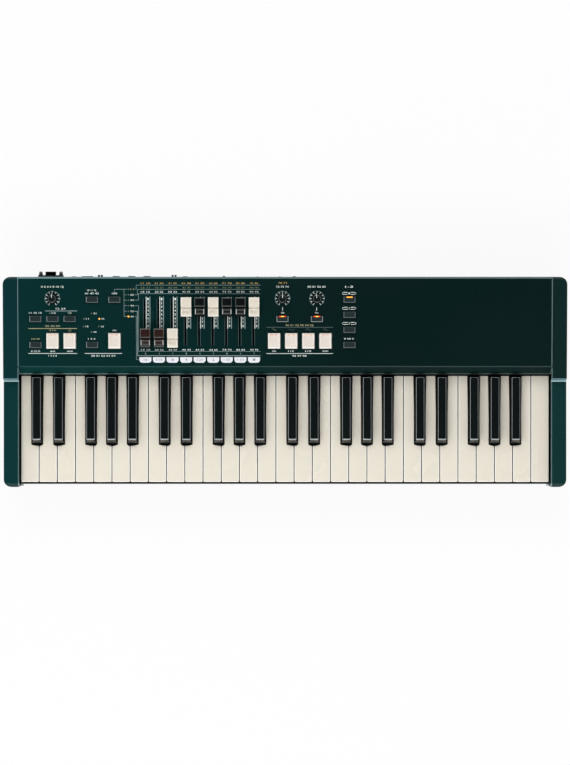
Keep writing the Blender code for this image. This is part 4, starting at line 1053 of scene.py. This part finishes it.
def makeDial(body, across, up):
    top = dial["height"]
    profile = [(0, top - 0.25), (dial["crown"] - 1.6, top - 0.2), (dial["crown"] - 1.1, top)]
    profile += arc((dial["crown"] - 0.7, top - 0.7), 0.7, 90, 0, 5)
    profile += [(dial["grip"], 3.6), (dial["grip"] + 0.3, 2.6), (dial["skirt"] - 0.8, 1.9)]
    profile += arc((dial["skirt"] - 0.5, 1.4), 0.5, 90, 0, 4)
    profile += [(dial["skirt"], 0.8), (dial["shaft"], 0.8), (dial["shaft"], dial["foot"]), (0, dial["foot"])]

    def ribbed(turn, radius, height):
        if 3.2 < height < top - 0.8 and radius > dial["crown"] - 0.4:
            return radius - dial["ribDepth"] * (1 - abs(math.cos(turn * dial["ribs"] / 2)))
        return radius

    bm = bmesh.new()
    addTurned(bm, profile, dial["ribs"] * 6, wobble=ribbed)
    # A paler ring on the crown's rounded edge: painted highlight
    for face in bm.faces:
        middle = face.calc_center_median()
        if middle.z > top - 0.75 and dial["crown"] - 0.6 < middle.xy.length < dial["crown"] + 0.1:
            face.material_index = 2
    half = dial["pointer"] / 2
    addBox(bm, (-half, 1.0, top - 0.6), (half, dial["crown"] - 0.3, top + 0.1), 1)
    addBox(bm, (-half, dial["crown"] - 0.4, 3.0), (half, dial["grip"] + 0.1, top - 0.3), 1)
    addBox(bm, (-half, dial["grip"], 1.6), (half, dial["skirt"] - 0.3, 3.2), 1)
    turned = Matrix.Rotation(math.radians(dialTurns[body]), 4, "Z")
    place = panelPlane @ Matrix.Translation((across, up, 0)) @ turned
    looks = ["knobBlack", "whiteInk", "paintedHighlightKnobEdge"]
    knob = toObject(body.replace("dial_", "dialKnob_"), bm, looks, place, body, 35, even=False)
    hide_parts(body)


for body, (across, up) in dialPlaces.items():
    makeDial(body, across, up)
print("dials made")

# The print on the panel, in mm on the panel plane: plain numbers, marks and lines
printing = {"thick": 0.05, "under": -0.02, "fine": 0.5}
inkMeshes = {ink: bmesh.new() for ink in inkTones}
glyphs = {}


def printBar(ink, x0, up0, x1, up1, width):
    # A straight stroke between two points
    start, end = Vector((x0, up0)), Vector((x1, up1))
    along = (end - start).normalized() * width / 2
    side = Vector((-along.y, along.x))
    corners = [start - along - side, end + along - side, end + along + side, start - along + side]
    addPrism(inkMeshes[ink], [tuple(c) for c in corners], printing["under"], printing["thick"])


def printPath(ink, points, width):
    for (x0, y0), (x1, y1) in zip(points, points[1:]):
        printBar(ink, x0, y0, x1, y1, width)


def glyphMesh(text):
    if text not in glyphs:
        curve = bpy.data.curves.new("glyphs", "FONT")
        curve.body = text
        curve.align_x = curve.align_y = "CENTER"
        curve.resolution_u = 2
        curve.extrude = 0.5
        curve.offset = 0.012
        holder = toScene("glyphs", curve)
        graph = bpy.context.evaluated_depsgraph_get()
        glyphs[text] = bpy.data.meshes.new_from_object(holder.evaluated_get(graph))
        bpy.data.objects.remove(holder)
    return glyphs[text]


def printNumber(ink, text, across, up, width, height, lift=0.0):
    # A number stretched to the width and height that its place on the panel has
    mesh = glyphMesh(text)
    xs = [v.co.x for v in mesh.vertices]
    ys = [v.co.y for v in mesh.vertices]
    sizeX, sizeY = max(xs) - min(xs), max(ys) - min(ys)
    middle = Matrix.Translation((-(max(xs) + min(xs)) / 2, -(max(ys) + min(ys)) / 2, 0))
    scale = Matrix.Diagonal((width / sizeX, height / sizeY, printing["thick"] + lift, 1))
    bm = inkMeshes[ink]
    before = len(bm.verts)
    bm.from_mesh(mesh)
    bm.verts.ensure_lookup_table()
    where = Matrix.Translation((across, up, printing["thick"] / 2)) @ scale @ middle
    bmesh.ops.transform(bm, matrix=where, verts=bm.verts[before:])


dialScale = {"outer": 9.5, "inner": 7.3, "reach": 150, "line": 0.5, "tick": 0.8}


def printDialScale(across, up):
    outer, reach = dialScale["outer"], dialScale["reach"]
    places = [math.radians(90 - a) for a in range(-reach, reach + 1, 6)]
    ring = [(across + outer * math.cos(t), up + outer * math.sin(t)) for t in places]
    printPath("grey", ring, dialScale["line"])
    for a in range(-reach, reach + 1, 30):
        x, y = math.cos(math.radians(90 - a)), math.sin(math.radians(90 - a))
        foot = dialScale["inner"] - (0 if abs(a) < reach else 0.5)
        ends = (across + outer * x, up + outer * y, across + foot * x, up + foot * y)
        printBar("white", *ends, dialScale["tick"])


# For each ink: text, across, up, width, height
labels = {
    "white": (
        ("0 2 4 6 8 10 12", columns[1], 102.4, 29.0, 2.5),
        ("12 24", -288.4, 74.3, 12.5, 2.2),
        ("11 12 13", -321.1, 68.8, 16.2, 2.2),
        ("-12", columns[1], 68.8, 8.8, 2.2),
        ("+12", columns[2], 68.8, 4.6, 2.2),
        ("21 22 23", -321.1, 19.4, 11.6, 2.1),
        ("60", columns[1], 19.4, 6.4, 2.1),
        ("400", columns[2], 19.4, 7.8, 2.1),
        ("1 2 3 4", columns[1], 13.6, 10.6, 2.3),
        ("10 11 12", -248.4, 97.9, 11.6, 1.9),
        ("41 42 43", -248.4, 93.8, 18.0, 2.4),
        ("100", -219.1, 93.8, 6.6, 2.2),
        ("1 2 3", -248.8, 35.4, 9.0, 2.2),
        ("ON", -219.5, 46.1, 4.6, 2.1),
        ("50 51 52 53 54", -233.9, 13.6, 31.0, 2.3),
        ("72 73 74", -3.4, 102.4, 16.2, 2.4),
        ("80 81 82 83", 40.6, 102.4, 23.4, 2.4),
        ("ON", -3.2, 68.9, 4.0, 2.2),
        ("ON", 40.6, 68.9, 4.0, 2.2),
        ("ON", -14.2, 19.6, 4.8, 2.1),
        ("1/2", 7.8, 19.6, 7.6, 2.1),
        ("1/3", 29.8, 19.6, 7.6, 2.1),
        ("300", 51.8, 19.6, 8.0, 2.1),
        ("96 97 98", 18.5, 13.5, 18.4, 2.4),
        ("1-3", 82.3, 102.4, 10.0, 2.4),
        ("0 00 0", 82.3, 35.5, 12.6, 2.1),
    ),
    "gold": (
        ("30 40 50", columns[1], 51.9, 19.0, 2.4),
        ("310", columns[1], 46.2, 9.0, 2.0),
        ("32", columns[2], 46.2, 4.0, 2.0),
        ("210 20", -321.1, 35.3, 11.0, 2.0),
        ("90 91 92 93 94 95", 18.5, 52.8, 36.0, 2.4),
    ),
    "orange": (("70 71", -3.2, 107.3, 11.0, 2.1),),
}
# Ink, the two ends, width
strokes = (
    ("grey", -307.7, 71.3, -267.9, 71.3, 0.95),
    ("gold", -329.8, 48.7, -267.9, 48.7, 0.8),
    ("white", -329.8, 16.6, -267.9, 16.6, 0.7),
    ("white", -257.4, 16.6, -209.9, 16.6, 0.65),
    ("faint", -23.7, 50.2, 61.3, 50.2, 0.8),
    ("white", -23.7, 16.5, 61.3, 16.5, 0.7),
    ("white", -3.1, 75.8, -3.1, 72.2, 0.75),
    ("white", 40.7, 75.8, 40.7, 72.2, 0.8),
)
# The column of lamps beside the drawbars; lit counts on into the ring
lamps = {
    "source": (-219.1, 96.2),  # where the lines to the lamps begin
    "branch": -206.9,
    "twig": 3.4,
    "out": -193.2,
    "numberAcross": -196.6,
    "lens": -201.3,
    "rows": (99.2, 92.1, 85.2, 78.1, 70.9, 64.2),
    "lit": (5, 8),
    "radius": 0.8,
    "litRadius": 1.15,
}
# Each lamp's line to its row: where it turns, the row, where it ends, width
rowEnd = drawbarAcross(drawbars["count"]) + 7.9
routes = (
    (-191.2, 104.5, rowEnd, 0.5),
    (-189.7, 99.0, rowEnd, 0.5),
    (-188.3, 93.5, rowEnd, 0.5),
    (-188.3, 19.2, rowEnd, 0.5),
    (-189.7, 13.8, rowEnd, 0.9),
    (-191.2, 8.8, -188.4, 0.5),
)
# The ring of lamps beside them: across, up, number
ringLamps = (
    (-248.8, 68.2, "31"),
    (-258.5, 61.2, "11"),
    (-238.7, 61.2, "33"),
    (-259.1, 51.3, "12"),
    (-239.3, 51.3, "21"),
    (-248.8, 44.3, "32"),
)


def printRouting():
    # From the six lamps to the six rows of the drawbars' table
    rows, branch, fine = lamps["rows"], lamps["branch"], printing["fine"]
    across, up = lamps["source"]
    printPath("grey", [(across, up), (across, rows[0]), (branch, rows[0])], fine)
    printPath("grey", [(branch, rows[0]), (branch, rows[-1])], fine)
    for up in rows:
        printBar("grey", branch, up, branch + lamps["twig"], up, fine)
    for up, (x, line, end, width) in zip(rows, routes):
        printPath("grey", [(lamps["out"], up), (x, up), (x, line), (end, line)], width)
    for i, up in enumerate(rows):
        printNumber("white" if i else "gold", str(i + 1) * 2, lamps["numberAcross"], up, 4.4, 1.9)


# Each drawbar's numbers: ink, last digit, up, width, height, and how the width changes from bar to bar
drawbarRows = (
    ("orange", 1, 106.9, 12.4, 1.9, 3, 1.0),
    ("olive", 2, 101.2, 11.4, 1.8, 2, 1.0),
    ("white", 3, 95.9, 11.6, 2.1, 2, 1.0),
    ("white", 4, 21.3, 11.6, 2.1, 3, 0.6),
)
footages = ("16", "5 1/3", "8", "4", "2 2/3", "2", "1 3/5", "1 1/3", "1")
footTab = {"half": 7.7, "shift": -0.25, "top": 11.9, "low": 4.65, "corner": 3.7, "textUp": 8.6, "textHeight": 2.9}
# The lines beside each slot: ink, across from the slot, from, to, width
rails = (
    ("white", 1.0, 89.0, 49.0, 0.9),
    ("grey", 5.7, 89.0, 49.0, 1.1),
    ("faint", 0.75, 49.0, 26.5, 0.5),
    ("faint", -2.75, 87.0, 26.5, 0.45),
)
ladder = {"steps": 8, "across": 3.3, "top": 86.6, "step": 4.95, "width": 1.8, "height": 3.1}


def printDrawbarTable():
    half, top, low, r = (footTab[k] for k in ("half", "top", "low", "corner"))
    for i, footage in enumerate(footages):
        x, n = drawbarAcross(i + 1), i + 1
        for ink, digit, up, width, height, every, less in drawbarRows:
            printNumber(ink, f"{n}{digit} {n}{digit - 1}", x, up, width - i % every * less, height)
        printNumber("grey", str((i * 3) % 9 + 1), x, 16.5, 1.5, 2.2)
        left, right = x + footTab["shift"] - half, x + footTab["shift"] + half
        outline = [(left, top), (left, low + r)] + arc((left + r, low + r), r, 180, 270, 4)[1:]
        outline += arc((right - r, low + r), r, 270, 360, 4) + [(right, top)]
        addPrism(inkMeshes["tab"], outline, printing["under"], printing["thick"])
        textWidth = 2.0 + 1.2 * len(footage)
        printNumber("tabText", footage, x, footTab["textUp"], textWidth, footTab["textHeight"], lift=0.06)
        for ink, across, start, end, width in rails:
            printBar(ink, x + across, start, x + across, end, width)
        for level in range(ladder["steps"]):
            up = ladder["top"] - ladder["step"] * level
            printNumber("white", str(level + 1), x + ladder["across"], up, ladder["width"], ladder["height"])


# The long outlines round the numbers beside the presets
pills = {"across": 82.5, "ups": (93.9, 74.7, 55.3), "half": 8.6, "radius": 1.3, "gap": 2.3, "line": 0.65}


def printPills():
    middle, half, r = pills["across"], pills["half"], pills["radius"]
    for number, up in enumerate(pills["ups"], 1):
        for side in (-1, 1):
            turns = [math.radians(90 + a if side < 0 else 90 - a) for a in range(0, 181, 30)]
            bend = [(middle + side * (half - r) + r * math.cos(t), up + r * math.sin(t)) for t in turns]
            start = middle + side * pills["gap"]
            printPath("white", [(start, up + r)] + bend + [(start, up - r)], pills["line"])
        printNumber("white", str(number), middle, up, 1.7, 2.4)


def printWaves():
    # A falling line, a rounded wave, a square wave and a stepped wave over the four ivory tabs
    x = [tabPlaces[t][0] for t in ("tab_percussion", "tab_soft", "tab_short", "tab_third")]
    base, high, line = 46.4, 48.4, 0.55
    printPath("olive", [(x[0] - 2.4, high), (x[0] + 2.6, base - 0.4)], 0.6)
    wave = [(x[1] - 3.6 + 0.9 * i, base + 0.8 + 1.1 * math.sin(i * 0.85)) for i in range(9)]
    printPath("faint", wave, line)
    for middle, start, drop, end in ((x[2], -2.4, 0.4, 3.4), (x[3], -2.6, 0, 3.2)):
        steps = ((start, base), (start, high), (drop, high), (drop, base), (end, base))
        printPath("faint", [(middle + across, up) for across, up in steps], line)


def makePrint():
    for ink, rows in labels.items():
        for row in rows:
            printNumber(ink, *row)
    for stroke in strokes:
        printBar(*stroke)
    printRouting()
    printDrawbarTable()
    printPills()
    printWaves()
    for across, up in dialPlaces.values():
        printDialScale(across, up)
    for x, up, number in ringLamps:
        printNumber("white", number, x + 4.4, up, 3.6, 1.9)
    for ink, bm in inkMeshes.items():
        piece = toObject(f"print_{ink}", bm, f"{ink}Ink", panelPlane, sharp=60, even=False)


makePrint()


def makeLamps():
    bm = bmesh.new()
    spots = [(lamps["lens"], up) for up in lamps["rows"]] + [row[:2] for row in ringLamps]
    for i, (x, up) in enumerate(spots):
        lit = i in lamps["lit"]
        radius = lamps["litRadius" if lit else "radius"]
        profile = [(0, 0.42), (radius * 0.6, 0.34), (radius, 0.1), (radius, -1.0), (0, -1.0)]
        addTurned(bm, profile, 16, Matrix.Translation((x, up, 0)), 0 if lit else 1)
    toObject("lampLenses", bm, ["amberLit", "lensDark"], panelPlane, sharp=50, even=False)


makeLamps()
print("print and lamps made")

# The rear: rings, nuts, pins and screws round the sockets
rear = {
    "jacks": (-219.2, -199.0, -179.2),
    "din": (-96.5, -60.5),
    "speaker": -303.9,
    "switch": -256.3,
    "bezel": (7.4, 11.8, 3.4),  # half width, half height and how far it stands out
    "rocker": (6.85, 9.7),  # half width and half height of the bezel's opening
    "screws": ((-330, 30), (330, 30), (150, 30), (250, 66), (-150, 66)),
    "studs": ((-79.2, 4.2, 1.45), (-35.6, 3.4, 1.6), (-7.0, 3.5, 1.7), (12.2, 3.7, 2.45)),  # x, reach, radius
    "studZ": 50.0,
    "jackRing": ((3.3, 4.15), (4.2, 4.15), (4.55, 3.85), (4.55, 2.7), (3.3, 2.7), (3.3, 4.15)),
    "pins": (3.9, 0.75, 0.9, 1.12),  # radius of their circle and of each pin, and its two ends
    "dinScrews": (11.2, 41.0),  # how far to each side, and height
}
wallOut = fromFront(case["wallIn"])


def onWall(x, z=None, out=0.0):
    # Local +Z points out of the rear wall, local +Y points up
    turn = Matrix(((-1, 0, 0, 0), (0, 0, 1, 0), (0, 1, 0, 0), (0, 0, 0, 1)))
    return Matrix.Translation((x, wallOut + out, case["socketZ"] if z is None else z)) @ turn


def addPanHead(bm, place, radius=2.6, rise=1.6, material=0):
    # A domed screw head with a cross recess
    profile = [(0, rise), (radius * 0.5, rise * 0.93), (radius * 0.85, rise * 0.6), (radius, 0.25), (radius, 0), (0, 0)]
    addTurned(bm, profile, 24, place, material)
    for turn in (0, 90):
        spin = place @ Matrix.Rotation(math.radians(turn), 4, "Z")
        addBox(bm, (-radius * 0.5, -radius * 0.11, rise * 0.8), (radius * 0.5, radius * 0.11, rise + 0.03), 1, spin)


def makeRear():
    bm = bmesh.new()
    for x in rear["jacks"]:
        addTurned(bm, rear["jackRing"], 32, onWall(x))
    toObject("jackRings", bm, "nickelPlate", sharp=40)
    bm = bmesh.new()
    circle, radius, low, high = rear["pins"]
    for x in rear["din"]:
        for turn in range(180, 361, 45):
            turn = math.radians(turn)
            where = onWall(x) @ Matrix.Translation((circle * math.cos(turn), -circle * math.sin(turn), 0))
            addRod(bm, radius, low, high, turn=where, segments=12)
    toObject("socketPins", bm, "goldPin", sharp=40)
    bm = bmesh.new()
    for x, z in rear["screws"]:
        addPanHead(bm, onWall(x, z))
    for x, reach, radius in rear["studs"]:
        profile = [(0, reach), (radius * 0.75, reach - 0.05), (radius, reach - 0.4), (radius, 0.9), (radius + 1.2, 0.7)]
        addTurned(bm, profile + [(radius + 1.2, 0), (0, 0)], 24, onWall(x, rear["studZ"]))
    aside, z = rear["dinScrews"]
    for x in rear["din"]:
        for side in (-1, 1):
            addPanHead(bm, onWall(x + side * aside, z), 2.3, 1.3)
    toObject("rearScrews", bm, ["blackenedSteel", "socketBlack"], sharp=40)
    bm = bmesh.new()
    across, tall, reach = rear["bezel"]
    inner, innerTall = rear["rocker"]
    lap = inner + 0.05
    sides = ((-across, -tall, -inner, tall), (inner, -tall, across, tall))
    ends = ((-lap, -tall, lap, -innerTall), (-lap, innerTall, lap, tall))
    for x0, z0, x1, z1 in sides + ends:
        addBox(bm, (x0, z0, 0.02), (x1, z1, reach), place=onWall(rear["switch"]))
    bezel = toObject("switchBezel", bm, "socketBlack", sharp=40)
    modify(bezel, "edge", "BEVEL", width=0.15 * mm, segments=2)


makeRear()

# The wide socket in the rear wall: a flange block, a D-shaped shell with its contacts, two tapered posts
speakerSocket = {
    "flange": (16.3, 6.1, 5.1),  # half width, half height and how far it stands out
    "shell": ((5.2, -4.7), (6.4, -3.6), (6.9, 3.2), (5.9, 4.5)),
    "reach": 9.7,
    "recess": 5.0,
    "contacts": ((-3.9, -1.3, 1.3, 3.9), (-2.3, 0, 2.3), 0.45),  # columns, rows and radius of the pins
    "posts": 13.1,
    "tip": 10.75,
}


def makeSpeakerSocket():
    s = speakerSocket
    bm = bmesh.new()
    half, tall, high = s["flange"]
    x, y = half - 1, tall - 1
    corners = ((x, y, 0), (-x, y, 90), (-x, -y, 180), (x, -y, 270))
    addPrism(bm, [p for x, y, turn in corners for p in arc((x, y), 1, turn, turn + 90, 3)], 0.02, high)
    outline = list(s["shell"]) + [(-x, y) for x, y in reversed(s["shell"])]
    verts = addPrism(bm, outline, -2, s["reach"])
    upper = set(verts[len(outline):])
    top = next(face for face in verts[-1].link_faces if all(v in upper for v in face.verts))
    bmesh.ops.inset_region(bm, faces=[top], thickness=1.0)
    floor = bmesh.ops.extrude_discrete_faces(bm, faces=[top])["faces"][0]
    bmesh.ops.translate(bm, verts=list(floor.verts), vec=(0, 0, -s["recess"]))
    columnsX, rowsY, radius = s["contacts"]
    for x in columnsX:
        for y in rowsY:
            addRod(bm, radius, s["reach"] - s["recess"] - 0.3, s["reach"] - 0.8, (x, y), segments=12, material=1)
    tip = s["tip"]
    post = [(0, tip), (0.9, tip - 0.1), (1.7, tip - 0.6), (2.1, tip - 1.5), (2.4, tip - 3.4), (2.8, high)]
    post.append((0, high - 0.2))
    for side in (-1, 1):
        at = Matrix.Translation((side * s["posts"], 0, 0))
        for vert in addTurned(bm, post, 28, at):
            if vert.co.z > tip - 0.7:
                for face in vert.link_faces:
                    face.material_index = 2
    bm.transform(onWall(rear["speaker"]))
    socket = toObject("speakerSocketBlock", bm, ["socketBlack", "goldPin", "zincSteel"], sharp=35)
    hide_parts("speaker_socket")


makeSpeakerSocket()


# A black felt strip along the foot of the lip, over the keys, that stands for the lip's shadow on them: painted shadow.
# And the pale lugs beside the end blocks
frontTrim = {
    "room": 0.4,  # between the trim's ends and the end blocks
    "felt": (143.5, 146.9, 58.5, 60.45),  # in from, in to, bottom, top
    "lug": (0.25, 3.1, 19.9, 28.15),
    "lugWidth": 2.7,
}


def makeFrontTrim():
    half = case["innerHalf"] - frontTrim["room"]
    bm = bmesh.new()
    front, rearEnd, low, high = frontTrim["felt"]
    front, rearEnd = fromFront(front), fromFront(rearEnd)
    addPrism(bm, [(-half, front), (half, front), (half, rearEnd), (-half, rearEnd)], low, high)
    toObject("paintedShadowLipStrip", bm, "blackFelt", sharp=40)
    bm = bmesh.new()
    front, rearEnd, low, high = frontTrim["lug"]
    for side in (-1, 1):
        near, far = sorted((side * (half - frontTrim["lugWidth"]), side * half))
        verts = addBox(bm, (near, fromFront(front), low), (far, fromFront(rearEnd), high))
        rim = list({e for v in verts for e in v.link_edges})
        bmesh.ops.bevel(bm, geom=rim, offset=0.3, segments=2, profile=0.5, affect="EDGES")
    toObject("frontLugs", bm, "paleSteel", sharp=40)


makeFrontTrim()


underside = {
    "screwsX": (-270, -135, 0, 135, 270),
    "screwsIn": (60, 140, 215),
    "floor": 5.0,
    "feetX": (-300, 300),
    "feetIn": (26, 242),
}


def makeUnderside():
    bm = bmesh.new()
    down = Matrix.Rotation(math.pi, 4, "X")
    for x in underside["screwsX"]:
        for y in underside["screwsIn"]:
            addPanHead(bm, Matrix.Translation((x, fromFront(y), underside["floor"])) @ down, 3.2, 1.7)
    toObject("baseScrews", bm, ["blackenedSteel", "socketBlack"], sharp=40)
    bm = bmesh.new()
    foot = [(0, 4.7), (8.6, 4.7), (9, 4.3), (8.6, 1.4)] + arc((7.4, 1.2), 1.2, 0, -90, 5)
    foot += [(3.4, 0), (3.1, 0.4), (3.1, 2.4), (0, 2.4)]
    for y in underside["feetIn"]:
        for x in underside["feetX"]:
            addTurned(bm, foot, 40, Matrix.Translation((x, fromFront(y), 0)))
            addPanHead(bm, Matrix.Translation((x, fromFront(y), 2.4)) @ down, 2.6, 1.3, 1)
    feet = toObject("rubberFeet", bm, ["footRubber", "zincSteel"], sharp=35)
    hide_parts("foot_front_left", "foot_front_right", "foot_rear_left", "foot_rear_right")


makeUnderside()
print("rear and underside made")


# CAD nodes that keep their shape and take a finer finish
dressed = {
    "bottom_case": "caseShell",
    "key_chassis": "chassisSteel",
    "key_felt": "redFelt",
    "contact_board": "boardGreen",
    "panel_board": "boardGreen",
    "drawbar_guide": "slotLiner",
    "jack_board": "jackBoardFinish",
    "power_switch": "socketBlack",
}
for name, look in dressed.items():
    for slot in nodes[name].material_slots:
        slot.material = finishes[look]

# Floor, camera and lights
studio = {
    "cameraHeight": 3655.0,
    "cameraY": -4.9,
    "lens": 130.8,
    "floorShare": 0.9,  # how much of the floor the camera sees as plain white; the rest keeps the shadow
    "sides": 0.5,  # level of the studio's side walls; front and rear walls add the next value
    "ends": 0.9,
    "floorHalf": 6.0,
    "floorTone": 0.86,
    "floorRough": 0.9,
    "floorGloss": 0.1,
    # How bright the studio is at each height, from straight below to straight above
    "levels": ((0.0, 1.0), (0.3, 1.0), (0.5, 0.8), (0.8, 0.8), (0.905, 0.03), (1.0, 0.02)),
    # Place and size in m, power in W
    "softboxes": {
        "softboxLeft": ((-2.2, -0.2, 1.9), (0.9, 2.2), 6),
        "softboxRight": ((2.3, 0.1, 1.8), (0.7, 2.0), 4),
        "softboxRear": ((-0.3, 2.0, 1.9), (2.6, 0.8), 27),
        "softboxFront": ((-0.3, -2.0, 1.9), (2.6, 0.8), 38),
    },
}


def makeFloor():
    bm = bmesh.new()
    bmesh.ops.create_grid(bm, x_segments=1, y_segments=1, size=studio["floorHalf"])
    floor = toScene("studioFloor", toMesh("studioFloor", bm))
    material = bpy.data.materials.new("paleFloor")
    material.use_nodes = True
    tree = material.node_tree
    shader = tree.nodes["Principled BSDF"]
    shader.inputs["Base Color"].default_value = (*[studio["floorTone"]] * 3, 1)
    shader.inputs["Roughness"].default_value = studio["floorRough"]
    shader.inputs["Specular IOR Level"].default_value = studio["floorGloss"]
    glow = addNode(tree, "ShaderNodeEmission", {"Color": (1, 1, 1, 1), "Strength": 1})
    rays = addNode(tree, "ShaderNodeLightPath").outputs
    seen = addMath(tree, "ADD", rays["Is Camera Ray"], rays["Is Glossy Ray"], clamp=True)
    seen = addMath(tree, "ADD", seen, rays["Is Transmission Ray"], clamp=True)
    share = addMath(tree, "MULTIPLY", seen, studio["floorShare"])
    mix = addNode(tree, "ShaderNodeMixShader", {"Fac": share, 1: shader.outputs["BSDF"], 2: glow.outputs["Emission"]})
    tree.links.new(mix.outputs["Shader"], tree.nodes["Material Output"].inputs["Surface"])
    floor.data.materials.append(material)


def makeWorld():
    # A studio with white walls all round and the dark camera side overhead
    world = bpy.data.worlds.new("studio")
    scene.world = world
    world.use_nodes = True
    tree = world.node_tree
    background = tree.nodes["Background"]
    place = addNode(tree, "ShaderNodeTexCoord").outputs["Generated"]
    split = addNode(tree, "ShaderNodeSeparateXYZ", {"Vector": place}).outputs
    ramp = addNode(tree, "ShaderNodeValToRGB", {"Fac": split["Z"]})
    stops = ramp.color_ramp.elements
    for position, level in studio["levels"]:
        stop = stops[0] if position == 0 else stops[-1] if position == 1 else stops.new(position)
        stop.position = position
        stop.color = (level, level, level, 1)
    squared = addMath(tree, "MULTIPLY", split["Y"], split["Y"])
    around = addMath(tree, "MULTIPLY_ADD", squared, studio["ends"], studio["sides"])
    tree.links.new(around, background.inputs["Strength"])
    tree.links.new(ramp.outputs["Color"], background.inputs["Color"])


def makeLamp(name, place, size, power):
    light = bpy.data.lights.new(name, "AREA")
    light.shape = "RECTANGLE"
    light.size, light.size_y = size
    light.energy = power
    lamp = toScene(name, light)
    lamp.location = place
    lamp.rotation_mode = "QUATERNION"
    lamp.rotation_quaternion = (-Vector(place)).to_track_quat("-Z", "Y")
    lamp.visible_camera = False


def makeCamera():
    camera = bpy.data.cameras.new("camera")
    camera.sensor_fit = "AUTO"
    camera.sensor_width = 36
    camera.lens = studio["lens"]
    camera.clip_end = 20
    scene.camera = toScene("camera", camera)
    scene.camera.location = (0, studio["cameraY"] * mm, studio["cameraHeight"] * mm)


makeFloor()
makeWorld()
for name, setting in studio["softboxes"].items():
    makeLamp(name, *setting)
makeCamera()
scene.view_settings.view_transform = "Standard"
print("studio made")
